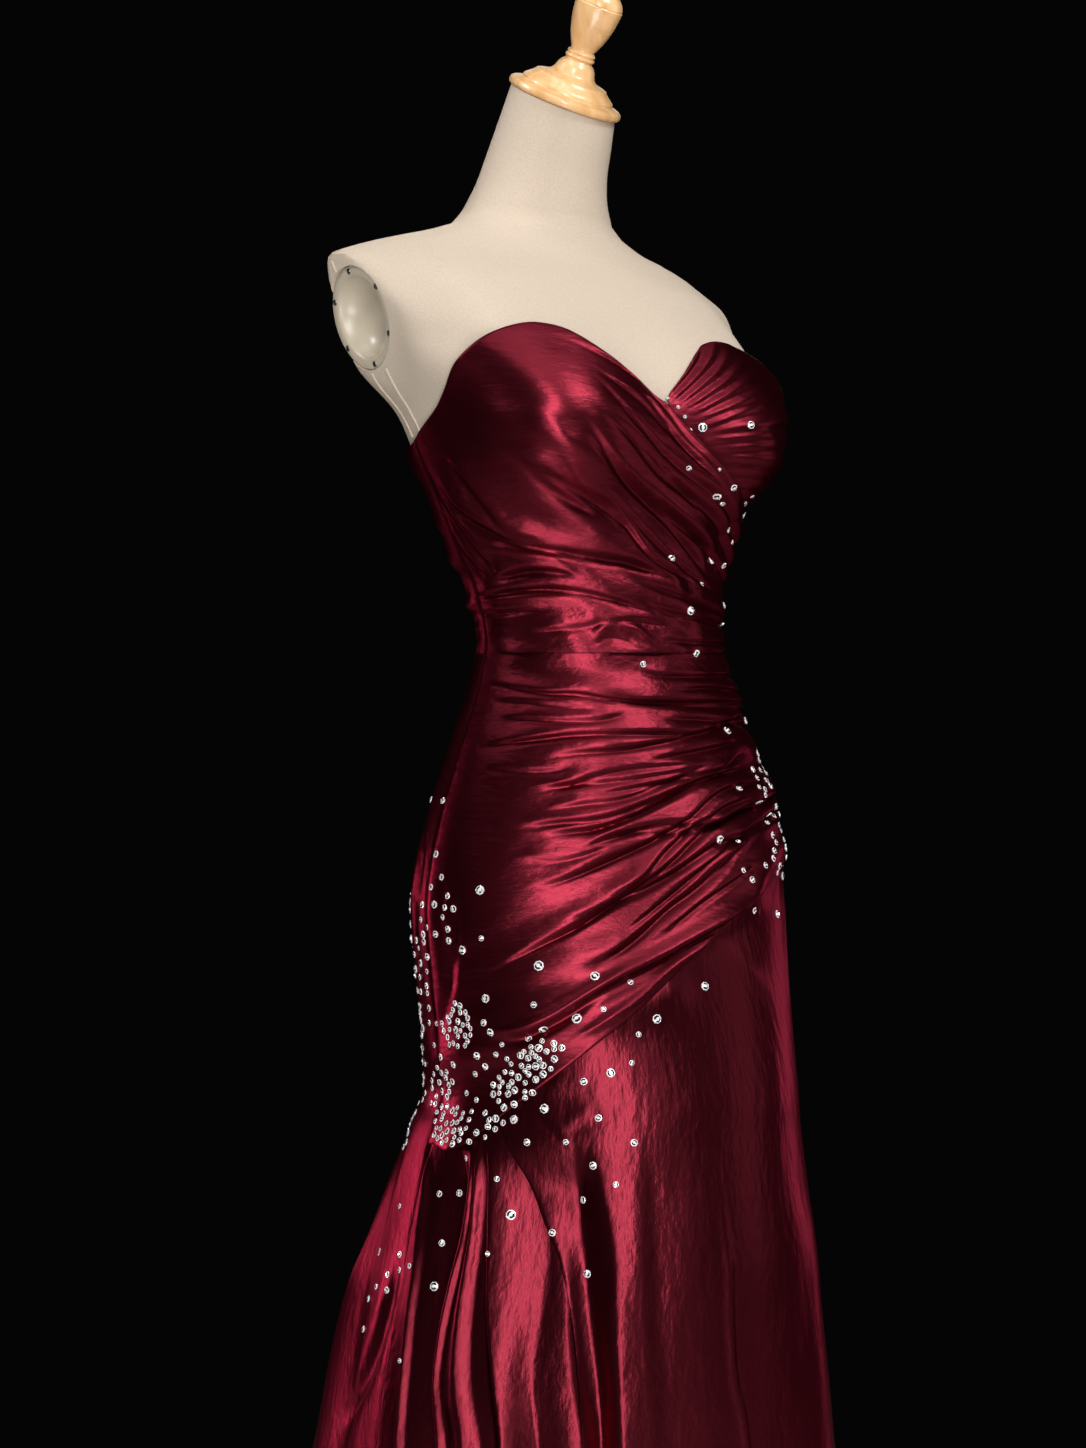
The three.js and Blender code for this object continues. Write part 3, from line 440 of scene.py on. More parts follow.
def charted(rows, area):
    """The rows with their marks moved onto the gown, as (angle x mm per degree, height)."""
    scale = PER_DEGREE[area]
    out = []
    for kind, depth, width, *marks in rows:
        spots = [on_gown(*mark) for mark in marks]
        (from_angle, from_height), (angle, height) = spots[-2:]
        if angle > CARRIED_FROM and area in ("hip", "bodice"):
            rise = (height - from_height) / max(angle - from_angle, LEAST_RUN)
            rise = np.clip(rise, -STEEPEST, STEEPEST)
            spots.append((CARRIED_TO, height + rise * (CARRIED_TO - angle)))
        out.append((kind, depth, width, smooth_path([(a * scale, h) for a, h in spots])))
    return out


def own_creases(rows, area):
    """Rows whose marks are already (angle, height)."""
    scale = PER_DEGREE[area]
    return [
        (kind, depth, width, smooth_path([(a * scale, h) for a, h in marks]))
        for kind, depth, width, *marks in rows
    ]


CREASE_REACH = 7.5             # how far a crease is felt, in half widths
# A tuck's roll: its crest above the valley, height, softness above and below it, in half widths.
ROLL_AT, ROLL_HIGH, ROLL_SOFT, ROLL_STEEP = 1.15, 0.8, 3.4, 0.85
VALLEY_BELOW, VALLEY_WIDE, VALLEY_LEAST = 0.2, 0.56, 1.8
# Shares of a crease's length where it deepens and fades, and where it widens and narrows again.
DEEPENS, FADES, FADED = (0, 0.22), (0.8, 1.0), 0.92
WIDENS, NARROWS, END_WIDTH, MORE_WIDTH, NARROWED = (0, 0.3), (0.7, 1), 0.55, 0.45, 0.5


def crease_relief(creases, angle, height, scale):
    """How far the creases lift the cloth at each point, in millimetres."""
    x, z = angle * scale, height
    relief = np.zeros(np.shape(x))
    for kind, depth, width, path in creases:
        reach = CREASE_REACH * width
        low, high = path.min(axis=0) - reach, path.max(axis=0) + reach
        near = (x > low[0]) & (x < high[0]) & (z > low[1]) & (z < high[1])
        if not near.any():
            continue
        px, pz = x[near], z[near]
        best = np.full(px.shape, 1e9)
        side = np.zeros(px.shape)
        along = np.zeros(px.shape)
        lengths = np.hypot(*(path[1:] - path[:-1]).T)
        total, run = lengths.sum(), 0.0
        for (ax, az), (bx, bz), length in zip(path[:-1], path[1:], lengths):
            ux, uz = (bx - ax) / length, (bz - az) / length
            t = np.clip((px - ax) * ux + (pz - az) * uz, 0, length)
            dx, dz = px - ax - t * ux, pz - az - t * uz
            away = np.hypot(dx, dz)
            closer = away < best
            best = np.where(closer, away, best)
            side = np.where(closer, np.sign(dz * ux - dx * uz + 1e-9) * away, side)
            along = np.where(closer, (run + t) / total, along)
            run += length
        fade = ease_step(along, *DEEPENS) * (1 - ease_step(along, *FADES) * FADED)
        narrowing = 1 - NARROWED * ease_step(along, *NARROWS)
        thin = width * (END_WIDTH + MORE_WIDTH * ease_step(along, *WIDENS) * narrowing)
        if kind == "ridge":
            shape = bell(side, thin)
        elif kind == "trough":
            shape = -bell(side, thin)
        else:
            flip = 1 if path[-1][0] >= path[0][0] else -1
            above = side * flip
            lip = above - ROLL_AT * thin
            roll = bell(lip, np.where(lip > 0, ROLL_SOFT, ROLL_STEEP) * thin)
            valley_width = np.maximum(VALLEY_WIDE * thin, VALLEY_LEAST)
            shape = ROLL_HIGH * roll - bell(above + VALLEY_BELOW * thin, valley_width)
        relief[near] += depth * fade * shape
    return relief


# Creases where the gown is not seen: the same gathers carried round the back.
BACK_BODICE_CREASES = [
    ("tuck", 1.6, 3.4, (92, 1178), (120, 1166), (156, 1160)),
    ("tuck", 1.8, 3.6, (91, 1150), (126, 1136), (170, 1140)),
    ("tuck", 1.6, 3.4, (92, 1126), (118, 1118), (150, 1110)),
    ("tuck", 2.0, 3.8, (91, 1102), (130, 1092), (174, 1088)),
    ("tuck", 1.6, 3.4, (92, 1078), (124, 1070), (156, 1072)),
    ("tuck", 1.4, 3.2, (92, 1058), (128, 1054), (170, 1056)),
    ("tuck", 1.6, 3.4, (-92, 1170), (-118, 1176), (-152, 1168)),
    ("tuck", 1.8, 3.6, (-91, 1128), (-124, 1140), (-168, 1136)),
    ("tuck", 1.8, 3.6, (-92, 1098), (-122, 1108), (-160, 1102)),
    ("tuck", 1.6, 3.4, (-92, 1066), (-126, 1078), (-172, 1074)),
]
BACK_SKIRT_CREASES = [
    ("tuck", 1.8, 4.0, (91, 1016), (128, 1008), (172, 1006)),
    ("tuck", 2.2, 4.4, (91, 996), (130, 984), (166, 980)),
    ("tuck", 2.4, 4.6, (91, 976), (126, 962), (174, 948)),
    ("tuck", 2.4, 4.6, (91, 958), (122, 936), (160, 922)),
    ("tuck", 2.4, 5.0, (91, 936), (120, 908), (158, 892)),
    ("tuck", 2.4, 5.0, (91, 914), (116, 880), (148, 860)),
    ("tuck", 2.2, 5.0, (91, 896), (112, 852), (136, 824)),
    ("tuck", 1.8, 4.4, (-92, 1012), (-126, 1002), (-170, 1000)),
    ("tuck", 1.8, 4.6, (-92, 972), (-122, 962), (-160, 960)),
    ("trough", 2.0, 7.0, (-94, 900), (-100, 830), (-98, 740)),
    ("trough", 2.0, 7.0, (-108, 880), (-112, 800), (-106, 690)),
    ("ridge", 2.0, 9.0, (-124, 880), (-122, 780), (-116, 680)),
]


WAVES = {  # the area, the ripples' direction in degrees, length, width, lift and seed
    "wrapped": ("bodice", -34, 140, 34, 0.55, 5), "fanned": ("cup", 24, 90, 12, 0.3, 9),
    "across_hip": ("hip", 4, 170, 30, 0.5, 11), "rising_hip": ("hip", 26, 170, 34, 0.6, 12),
    "hanging": ("skirt", 88, 420, 60, 0.5, 21), "crinkled": ("skirt", -24, 40, 8, 0.3, 22),
}
RIPPLES = 8                    # how many sizes of ripple lie on one another
RIPPLE_SIZES, RIPPLE_TILTS, RIPPLE_SHARES = (0.55, 1.7), (-0.3, 0.3), (0.4, 1)
RIPPLE_WANDER, RIPPLE_SUM = 1.3, 2.5


def soft_waves(kind, angle, height):
    """Low uneven ripples that run in one direction, as thin stiff taffeta has between its folds."""
    area, run, long, short, lift, seed = WAVES[kind]
    rng = np.random.default_rng(seed)
    run = math.radians(run)
    x, z = angle * PER_DEGREE[area], height
    u = x * math.cos(run) + z * math.sin(run)
    v = z * math.cos(run) - x * math.sin(run)
    out = np.zeros(np.shape(x))
    for _ in range(RIPPLES):
        size, tilt = rng.uniform(*RIPPLE_SIZES), rng.uniform(*RIPPLE_TILTS)
        start, bend = rng.uniform(0, 6.28, 2)
        wander = RIPPLE_WANDER * np.sin(2 * np.pi * u / (long * size) + bend)
        phase = 2 * np.pi * (v + tilt * u) / (short * size) + start + wander
        out += rng.uniform(*RIPPLE_SHARES) * np.sin(phase)
    return out * lift / RIPPLE_SUM


# ---- cloth pieces ----
THIN = 0.7                 # a piece's wall with its turning
HIDDEN_IN = 3.4            # how far the form's cover stands in where the gown hides it
CLEAR = -1.6               # the least distance of the cloth's face from the form's full size
ROLL = 2.4                 # how far in from its edge the cloth rolls over
ROLL_ROUND, ROLL_DROP = 0.98, 1.3      # how near to upright the roll ends, and its depth in walls


def level(value):
    """An edge that stays at one height or one angle."""
    return lambda at: np.full(np.shape(at), float(value))


PATCH_ROUNDS, PATCH_PULL = 24, 0.7     # side edges that slant are met by closing in on them


def patch(left, right, bottom, top, columns, rows):
    """The angles and heights of a grid, and how far each point is from the patch's four edges."""
    across = np.linspace(0, 1, columns + 1)[None, :]
    up = np.linspace(0, 1, rows + 1)[:, None]
    angle = left(WAIST) + (right(WAIST) - left(WAIST)) * across + 0 * up
    for _ in range(PATCH_ROUNDS):
        low, high = bottom(angle), top(angle)
        height = low + (high - low) * up
        start, end = left(height), right(height)
        angle = (1 - PATCH_PULL) * angle + PATCH_PULL * (start + (end - start) * across)
    per_degree = np.radians(gown_ring(angle, height)[0])
    edges = {
        "left": (angle - start) * per_degree,
        "right": (end - angle) * per_degree,
        "bottom": height - low,
        "top": high - height,
    }
    return angle, height, edges


def mesh_object(name, points, faces, uvs=None, sharp=50):
    """An object from points in millimetres and one array of faces of the same size."""
    mesh = bpy.data.meshes.new(name)
    faces = np.asarray(faces, np.int32)
    mesh.vertices.add(len(points))
    mesh.vertices.foreach_set("co", (np.asarray(points, float) * MM).ravel())
    mesh.loops.add(faces.size)
    mesh.loops.foreach_set("vertex_index", faces.ravel())
    mesh.polygons.add(len(faces))
    mesh.polygons.foreach_set("loop_start", np.arange(len(faces)) * faces.shape[1])
    mesh.polygons.foreach_set("use_smooth", np.ones(len(faces), bool))
    if uvs is not None:
        layer = mesh.uv_layers.new(name="cloth")
        layer.data.foreach_set("uv", (np.asarray(uvs, float) * MM)[faces.ravel()].ravel())
    mesh.update()
    mesh.validate()
    mesh.set_sharp_from_angle(angle=math.radians(sharp))
    obj = bpy.data.objects.new(name, mesh)
    bpy.context.scene.collection.objects.link(obj)
    return obj


def shell(name, outer, inner, uv):
    """A closed thin piece between two grids of points."""
    rows, columns = outer.shape[:2]
    index = np.arange(rows * columns).reshape(rows, columns)
    a, b = index[:-1, :-1].ravel(), index[:-1, 1:].ravel()
    c, d = index[1:, 1:].ravel(), index[1:, :-1].ravel()
    under = rows * columns
    rim = np.concatenate([index[0, :-1], index[:-1, -1], index[-1, :0:-1], index[:0:-1, 0]])
    after = np.roll(rim, -1)
    faces = np.concatenate([
        np.stack([a, b, c, d], axis=1),
        np.stack([a, d, c, b], axis=1) + under,
        np.stack([rim, rim + under, after + under, after], axis=1),
    ])
    points = np.concatenate([outer.reshape(-1, 3), inner.reshape(-1, 3)])
    return mesh_object(name, points, faces, np.concatenate([uv, uv]), sharp=62)


def edge_roll(edges, names):
    """How far the face turns in along the named edges."""
    turn = 0.0
    for name in names:
        near = np.clip(1 - edges[name] / ROLL, 0, 1)
        turn = np.maximum(turn, 1 - np.sqrt(1 - ROLL_ROUND * near**2))
    return turn * THIN * ROLL_DROP


def cloth_face(angle, height, lift):
    """Points on the gown's face, lifted, and on the face below it."""
    radius, middle_x, middle_y = gown_ring(angle, height)
    radius = radius + lift
    worn = form_radius(angle, height) + CLEAR
    worn = np.where(height > HIP_END, worn, 0)
    radius = np.where(radius - worn < 1, worn + np.exp(np.minimum(radius - worn - 1, 0)), radius)
    outer = place(angle, height, radius, middle_x, middle_y)
    inner = place(angle, height, radius - THIN, middle_x, middle_y)
    return outer, inner


bodice_creases = charted(BODICE_CREASES, "bodice") + own_creases(BACK_BODICE_CREASES, "bodice")
cup_creases = charted(CUP_CREASES, "cup")
hip_creases = charted(HIP_CREASES, "hip") + own_creases(BACK_SKIRT_CREASES, "hip")
skirt_creases = charted(SKIRT_CREASES, "skirt")
flare_creases = charted(FLARE_CREASES, "flare")
fold_lines = []
for marks, lifts in HANGING_FOLDS:
    spots = []
    for across, height, lift in zip(marks, FOLD_HEIGHTS, lifts):
        angle, true_height = on_gown(across, height)
        spots.append((true_height, angle, lift))
    spots.sort()
    turn = smooth_line([(h, a) for h, a, _ in spots])
    fold_lines.append((turn, smooth_line([(h, up) for h, _, up in spots])))

DEEPER = 1.6                   # how much deeper the gathered pieces' creases are than their rows say
WRAP_WAVES_TURN, WRAP_WAVES_FADE, WRAP_WAVES = -10, (170, 20), 0.9
RISING_BELOW, PULLED_FROM, LEAST_PULL = (930, 850), (-70, 20), 0.35


# The relief of each kind of piece: how far its own creases and ripples lift the cloth.
def bodice_relief(angle, height):
    relief = DEEPER * crease_relief(bodice_creases, angle, height, PER_DEGREE["bodice"])
    waves = soft_waves("wrapped", angle, height)
    share = ease_step(np.abs(turn_between(angle, WRAP_WAVES_TURN)), *WRAP_WAVES_FADE)
    return relief + waves * share * WRAP_WAVES


def cup_relief(angle, height):
    relief = DEEPER * crease_relief(cup_creases, angle, height, PER_DEGREE["cup"])
    return relief + soft_waves("fanned", angle, height)


def hip_relief(angle, height):
    relief = DEEPER * crease_relief(hip_creases, angle, height, PER_DEGREE["hip"])
    flat = soft_waves("across_hip", angle, height)
    rising = soft_waves("rising_hip", angle, height)
    share = ease_step(height, *RISING_BELOW)
    pulled = LEAST_PULL + (1 - LEAST_PULL) * ease_step(angle, *PULLED_FROM)
    return relief + (flat * (1 - share) + rising * share) * pulled


# The crinkled patch below the drape's edge: its middle, then its spread round and up.
CRINKLE_TURN, CRINKLE_HEIGHT, CRINKLE_ROUND, CRINKLE_UP = -26, 605, 16, 48
FOLDS_FROM, FOLDS_TO = (-114, -104), (4, 22)   # the hanging folds stand in for the plain flutes here
HANG_RISE, FOLD_RISE, LEAST_APART = (680, 480), (664, 604), 0.3
BACK_UPPER, BACK_LOWER = (560, 640), (700, 600)


def skirt_relief(angle, height):
    relief = crease_relief(skirt_creases, angle, height, PER_DEGREE["skirt"])
    relief = relief + crease_relief(flare_creases, angle, height, PER_DEGREE["flare"])
    hang = soft_waves("hanging", angle, height)
    crinkle = soft_waves("crinkled", angle, height)
    near = bell(turn_between(angle, CRINKLE_TURN), CRINKLE_ROUND)
    near = near * bell(height - CRINKLE_HEIGHT, CRINKLE_UP)
    own_folds = ease_step(angle, *FOLDS_FROM) * (1 - ease_step(angle, *FOLDS_TO))
    relief = relief + hanging_lift(angle, height) - flute_height(angle, height) * own_folds
    return relief + hang * ease_step(height, *HANG_RISE) + crinkle * near


def hanging_lift(angle, height):
    """The cloth's lift between the hanging folds' lines."""
    angle, height = np.broadcast_arrays(np.asarray(angle, float), np.asarray(height, float))
    before, before_lift = fold_lines[0][0](height), fold_lines[0][1](height)
    out = np.where(angle < before, before_lift, 0.0)
    for turn, lift in fold_lines[1:]:
        after, after_lift = np.maximum(turn(height), before + LEAST_APART), lift(height)
        t = np.clip((angle - before) / (after - before), 0, 1)
        part = before_lift + (after_lift - before_lift) * (0.5 * t + 0.5 * t * t * (3 - 2 * t))
        out = np.where((angle >= before) & (angle < after), part, out)
        before, before_lift = after, after_lift
    return out * ease_step(height, *FOLD_RISE)


def back_relief(angle, height):
    upper = crease_relief(hip_creases, angle, height, PER_DEGREE["hip"])
    lower = skirt_relief(angle, height)
    return upper * ease_step(height, *BACK_UPPER) + lower * ease_step(height, *BACK_LOWER)


SIDE, ROUND = 90, 180
SEAM_QUIET, SEAM_SPREAD, SEAM_RISE = 0.8, 7, (700, 760)        # side seams pull the creases flat
UV_PER_DEGREE = 2.6            # millimetres in one degree, for the weave and for strewn stones
faces_made = []


def cloth_piece(name, left, right, bottom, top, size, relief, rolled, lap):
    """A cut-and-sewn piece between its four edges, with its relief and its lap."""
    columns, rows = size
    angle, height, edges = patch(left, right, bottom, top, columns, rows)
    seams = bell(np.abs(turn_between(angle, 0)) - SIDE, SEAM_SPREAD) * ease_step(height, *SEAM_RISE)
    lift = relief(angle, height) * (1 - SEAM_QUIET * seams)
    for _ in range(2):
        lift[:, 1:-1] = (lift[:, :-2] + 2 * lift[:, 1:-1] + lift[:, 2:]) / 4
        lift[1:-1] = (lift[:-2] + 2 * lift[1:-1] + lift[2:]) / 4
    lift = lift - edge_roll(edges, rolled)
    if lap is not None:
        lift = lift + lap(angle, height, edges)
    outer, inner = cloth_face(angle, height, lift)
    uv = np.stack([angle * UV_PER_DEGREE, height], axis=-1).reshape(-1, 2)
    faces_made.append((angle, height, outer))
    return shell(name, outer, inner, uv)


# How far each edge runs over or under its neighbour, in millimetres or, at the panel, in degrees.
WRAP_LAP, DRAPE_LAP, TUCK_UNDER, PANEL_LAP, PANEL_UNDER, CUP_FROM = 5, 6, 9, 1.2, 2.4, 2
WRAP_BEGINS, WRAP_LIFTS = (0, 12), (0, 14)
# How far a lap lifts or sinks the cloth, and how far in from the edge that is felt.
WRAP_OVER, WRAP_ROLL, CUP_UNDER, DRAPE_OVER = (2.6, 17), 0.9, (-1.4, 10), (2.7, 20)
SKIRT_UNDER, PANEL_OVER, PANEL_OVER_RISE, SIDE_UNDER = (-1.1, 12), (2.4, 14), (660, 560), (-1.3, 12)


def lapped(distance, lap):
    lift, width = lap
    return lift * bell(distance, width)


def front_top(angle):
    wrapped = wrap_edge(angle) + WRAP_LAP * ease_step(angle, *WRAP_BEGINS)
    return np.where(angle < 0, top_edge(angle), wrapped)


def wrap_lap(angle, height, edges):
    """The wrapped edge lies over the cup and ends in a narrow roll."""
    rolled = WRAP_ROLL * (edges["top"] < 0.1)
    return (lapped(edges["top"], WRAP_OVER) - rolled) * ease_step(angle, *WRAP_LIFTS)


def cup_lap(angle, height, edges):
    return lapped(edges["bottom"], CUP_UNDER)


def drape_lap(angle, height, edges):
    """The drape's lower edge lies over the skirt."""
    return lapped(edges["bottom"], DRAPE_OVER)


def skirt_lap(angle, height, edges):
    over = lapped(edges["left"], PANEL_OVER) * ease_step(height, *PANEL_OVER_RISE)
    return lapped(edges["top"], SKIRT_UNDER) + over


def side_lap(angle, height, edges):
    return lapped(edges["top"], SKIRT_UNDER) + lapped(edges["right"], SIDE_UNDER)


def cup_bottom(angle):
    return wrap_edge(angle) - TUCK_UNDER


def drape_bottom(angle):
    return drape_edge(angle) - DRAPE_LAP


def skirt_top(angle):
    return drape_edge(angle) + TUCK_UNDER


def panel_left(height):
    return side_panel_edge(height) - PANEL_LAP


def side_right(height):
    return side_panel_edge(height) + PANEL_UNDER


# Each piece: what it stands for, its left, right, bottom and top edges, its grid, its relief, the
# edges that turn in, and its lap.
ALL_BUT_BOTTOM, ALL_BUT_TOP = ("top", "left", "right"), ("left", "right", "bottom")
BACK_GRID, SKIRT_BACK_GRID = (66, 54), (80, 170)
CLOTH_PIECES = {
    "gown_bodice_wrap": (
        "bodice_wrap_front", level(-SIDE), level(SIDE), level(WAIST), front_top,
        (210, 190), bodice_relief, ALL_BUT_BOTTOM, wrap_lap),
    "gown_left_cup": (
        "bodice_left_cup", level(CUP_FROM), level(SIDE), cup_bottom, top_edge,
        (110, 84), cup_relief, ("top", "right"), cup_lap),
    "gown_back_left": (
        "bodice_back_left", level(SIDE), level(ROUND), level(WAIST), top_edge,
        BACK_GRID, bodice_relief, ALL_BUT_BOTTOM, None),
    "gown_back_right": (
        "bodice_back_right", level(-ROUND), level(-SIDE), level(WAIST), top_edge,
        BACK_GRID, bodice_relief, ALL_BUT_BOTTOM, None),
    "gown_hip_drape": (
        "hip_drape_front", level(-SIDE), level(SIDE), drape_bottom, level(WAIST),
        (160, 300), hip_relief, ALL_BUT_TOP, drape_lap),
    "gown_skirt_front": (
        "skirt_front", panel_left, level(SIDE), level(HEM), skirt_top,
        (220, 180), skirt_relief, ALL_BUT_TOP, skirt_lap),
    "gown_skirt_side": (
        "skirt_right_side", level(-SIDE), side_right, level(HEM), skirt_top,
        (170, 150), skirt_relief, ("left", "bottom"), side_lap),
    "gown_skirt_back_left": (
        "skirt_back_left", level(SIDE), level(ROUND), level(HEM), level(WAIST),
        SKIRT_BACK_GRID, back_relief, ALL_BUT_TOP, None),
    "gown_skirt_back_right": (
        "skirt_back_right", level(-ROUND), level(-SIDE), level(HEM), level(WAIST),
        SKIRT_BACK_GRID, back_relief, ALL_BUT_TOP, None),
}
cloth = {name: cloth_piece(name, *row[1:]) for name, row in CLOTH_PIECES.items()}

# ---- materials ----
def material(name, color, roughness, metallic=0.0):
    made = bpy.data.materials.new(name)
    made.use_nodes = True
    shader = made.node_tree.nodes["Principled BSDF"]
    shader.inputs["Base Color"].default_value = (*color, 1)
    shader.inputs["Roughness"].default_value = roughness
    shader.inputs["Metallic"].default_value = metallic
    return made, made.node_tree, shader


def node(tree, kind, **inputs):
    made = tree.nodes.new(kind)
    for key, value in inputs.items():
        made.inputs[key.replace("_", " ")].default_value = value
    return made


def noise_height(tree, stretch, scale, detail=3.0, turn=0.0):
    """A noise on the piece's own metres, stretched along its axes."""
    where = tree.nodes.new("ShaderNodeTexCoord")
    mapping = tree.nodes.new("ShaderNodeMapping")
    mapping.inputs["Scale"].default_value = stretch
    mapping.inputs["Rotation"].default_value = (0, 0, turn)
    tree.links.new(where.outputs["UV"], mapping.inputs["Vector"])
    made = node(tree, "ShaderNodeTexNoise", Scale=scale, Detail=detail)
    tree.links.new(mapping.outputs["Vector"], made.inputs["Vector"])
    return made.outputs["Fac"]


def bumped(tree, shader, layers):
    """Bump layers, one on another: (height socket, distance in metres, strength)."""
    normal = None
    for height, distance, strength in layers:
        bump = node(tree, "ShaderNodeBump", Distance=distance, Strength=strength)
        tree.links.new(height, bump.inputs["Height"])
        if normal is not None:
            tree.links.new(normal, bump.inputs["Normal"])
        normal = bump.outputs["Normal"]
    tree.links.new(normal, shader.inputs["Normal"])


def tinted(tree, shader, height, dark, light, low=0.3, high=0.7):
    """A colour that runs from dark to light with a noise."""
    ramp = tree.nodes.new("ShaderNodeValToRGB")
    ramp.color_ramp.elements[0].position = low
    ramp.color_ramp.elements[0].color = (*dark, 1)
    ramp.color_ramp.elements[1].position = high
    ramp.color_ramp.elements[1].color = (*light, 1)
    tree.links.new(height, ramp.inputs["Fac"])
    tree.links.new(ramp.outputs["Color"], shader.inputs["Base Color"])


def taffeta(name, turn, long_way, grain, seed):
    """Thin stiff taffeta: slubs across the weave, crinkles and a fine grain."""
    made, tree, shader = material(name, (0.22, 0.006, 0.02), 0.37, 0.95)
    shader.inputs["Specular Tint"].default_value = (0.58, 0.42, 0.45, 1)
    shader.inputs["Anisotropic"].default_value = 0.7
    shader.inputs["Anisotropic Rotation"].default_value = grain
    slub = noise_height(tree, (14, 1, 1) if long_way else (1, 14, 1), 130 + seed, 3, turn)
    crinkle = noise_height(tree, (3.2, 1, 1) if long_way else (1, 3.2, 1), 34 + seed, 4, turn)
    small = noise_height(tree, (2.2, 1, 1) if long_way else (1, 2.2, 1), 120 + seed, 3, turn)
    weave = noise_height(tree, (1, 1, 1), 2600, 1)
    bumped(tree, shader, [
        (crinkle, 0.0016, 0.55 if long_way else 0.6), (small, 0.0005, 0.6),
        (slub, 0.00014, 0.2 if long_way else 0.5), (weave, 0.00005, 0.5),
    ])
    # The hanging skirt's copy is tinted darker than the same taffeta elsewhere: painted shade that dims its
    # highlight.
    if long_way:
        tinted(tree, shader, slub, (0.100, 0.0074, 0.0136), (0.128, 0.0112, 0.0204))
    else:
        tinted(tree, shader, slub, (0.126, 0.0086, 0.0166), (0.162, 0.0136, 0.0254))
    return made


wine = taffeta("wine_taffeta", 0.0, False, 0.25, 0)
wine_slant = taffeta("wine_taffeta_slant", math.radians(28), False, 0.25, 3)
wine_hang_shaded = taffeta("wine_taffeta_hang_shaded", 0.0, True, 0.25, 5)
cover, cover_tree, cover_shader = material("linen_cover", (0.76, 0.66, 0.52), 0.9)
where = cover_tree.nodes.new("ShaderNodeTexCoord")
linen = node(cover_tree, "ShaderNodeTexNoise", Scale=900.0, Detail=2.0)
cover_tree.links.new(where.outputs["Object"], linen.inputs["Vector"])
bumped(cover_tree, cover_shader, [(linen.outputs["Fac"], 0.0003, 0.4)])
tinted(cover_tree, cover_shader, linen.outputs["Fac"], (0.485, 0.395, 0.305), (0.57, 0.47, 0.375))
ivory, _, _ = material("ivory_plastic", (0.50, 0.43, 0.33), 0.3)
chrome, _, _ = material("chrome", (0.22, 0.21, 0.20), 0.3, 1.0)
setting, _, _ = material("stone_setting", (0.92, 0.92, 0.92), 0.3, 0.4)
glass, _, _ = material("rhinestone", (1.0, 1.0, 1.0), 0.07, 0.3)
steel, _, _ = material("painted_steel", (0.045, 0.045, 0.048), 0.42, 0.0)
# near-black copy of the rhinestone glass for most bevel facets: painted shade for the stones' dark
# reflections
painted_dark_facet, _, _ = material("rhinestone_painted_dark_reflection", (0.05, 0.05, 0.055), 0.08, 0.8)
zip_metal, _, _ = material("zip_metal", (0.30, 0.06, 0.08), 0.3, 0.8)
beech, beech_tree, beech_shader = material("beech", (0.62, 0.36, 0.15), 0.32)
where = beech_tree.nodes.new("ShaderNodeTexCoord")
grain_place = beech_tree.nodes.new("ShaderNodeMapping")
grain_place.inputs["Scale"].default_value = (60, 60, 6)
beech_tree.links.new(where.outputs["Object"], grain_place.inputs["Vector"])
grain = node(beech_tree, "ShaderNodeTexNoise", Scale=1.6, Detail=4.0, Distortion=0.6)
beech_tree.links.new(grain_place.outputs["Vector"], grain.inputs["Vector"])
tinted(beech_tree, beech_shader, grain.outputs["Fac"], (0.62, 0.33, 0.13), (0.80, 0.50, 0.24))
beech_shader.inputs["Coat Weight"].default_value = 0.35
beech_shader.inputs["Coat Roughness"].default_value = 0.15

CLOTH_LOOKS = {
    "gown_bodice_wrap": wine_slant, "gown_skirt_front": wine_hang_shaded, "gown_skirt_side": wine_hang_shaded,
    "gown_skirt_back_left": wine_hang_shaded, "gown_skirt_back_right": wine_hang_shaded,
}
for name, piece in cloth.items():
    piece.data.materials.append(CLOTH_LOOKS.get(name, wine))

# ---- rhinestones ----
# Loose stones: (across, height, width) as seen from the front right.
LOOSE_STONES = [
    (88, 1227, 6.5), (125, 1229, 5.5), (72, 1193, 4), (96, 1170, 6.5), (108, 1177, 5), (121, 1164, 5),
    (125, 1155, 5), (105, 1142, 4), (114, 1133, 3.6), (61, 1118, 6), (95, 1116, 6), (103, 1112, 4.5),
    (88, 1097, 4), (76, 1074, 6), (104, 1079, 5), (104, 1063, 4), (38, 1030, 4.5), (82, 1036, 5.5),
    (67, 1244, 2.6), (73, 1236, 2.6), (78, 1226, 2.4), (98, 1192, 2.6), (58, 1252, 2.4),
    (123, 983, 5), (108, 974, 6), (129, 942, 5), (116, 926, 5), (133, 915, 6), (98, 884, 6),
    (118, 882, 4), (121, 858, 4), (127, 850, 5), (131, 824, 4.5), (150, 820, 5.5), (139, 862, 4.5),
    (-138, 919, 5), (-128, 918, 4.5), (-134, 871, 5), (-130, 853, 4.5), (-120, 826, 5),
    (-98, 841, 6.5), (-95, 802, 4), (-113, 792, 6), (-47, 778, 7), (-1, 770, 6.5), (-93, 751, 6),
    (-53, 746, 4.5), (-16, 734, 7), (-46, 725, 6.5), (-57, 718, 5), (28, 765, 4), (7, 742, 4),
    (49, 735, 6.5), (91, 761, 6), (33, 721, 4), (12, 688, 6), (-11, 683, 5), (29, 698, 3.6),
    (-43, 658, 6.5), (-68, 649, 6), (-58, 631, 5), (-27, 633, 4), (0, 652, 5), (-4, 613, 5.5),
    (30, 630, 5), (-75, 569, 7), (-41, 553, 5), (-13, 582, 5), (16, 596, 4), (-7, 518, 5.5),
    (-136, 588, 4.5), (-125, 588, 5), (-137, 545, 5), (-144, 510, 6.5), (-164, 528, 4),
    (-155, 528, 4), (-164, 448, 3.6), (-112, 618, 4), (-84, 600, 4), (-92, 540, 3.6),
]
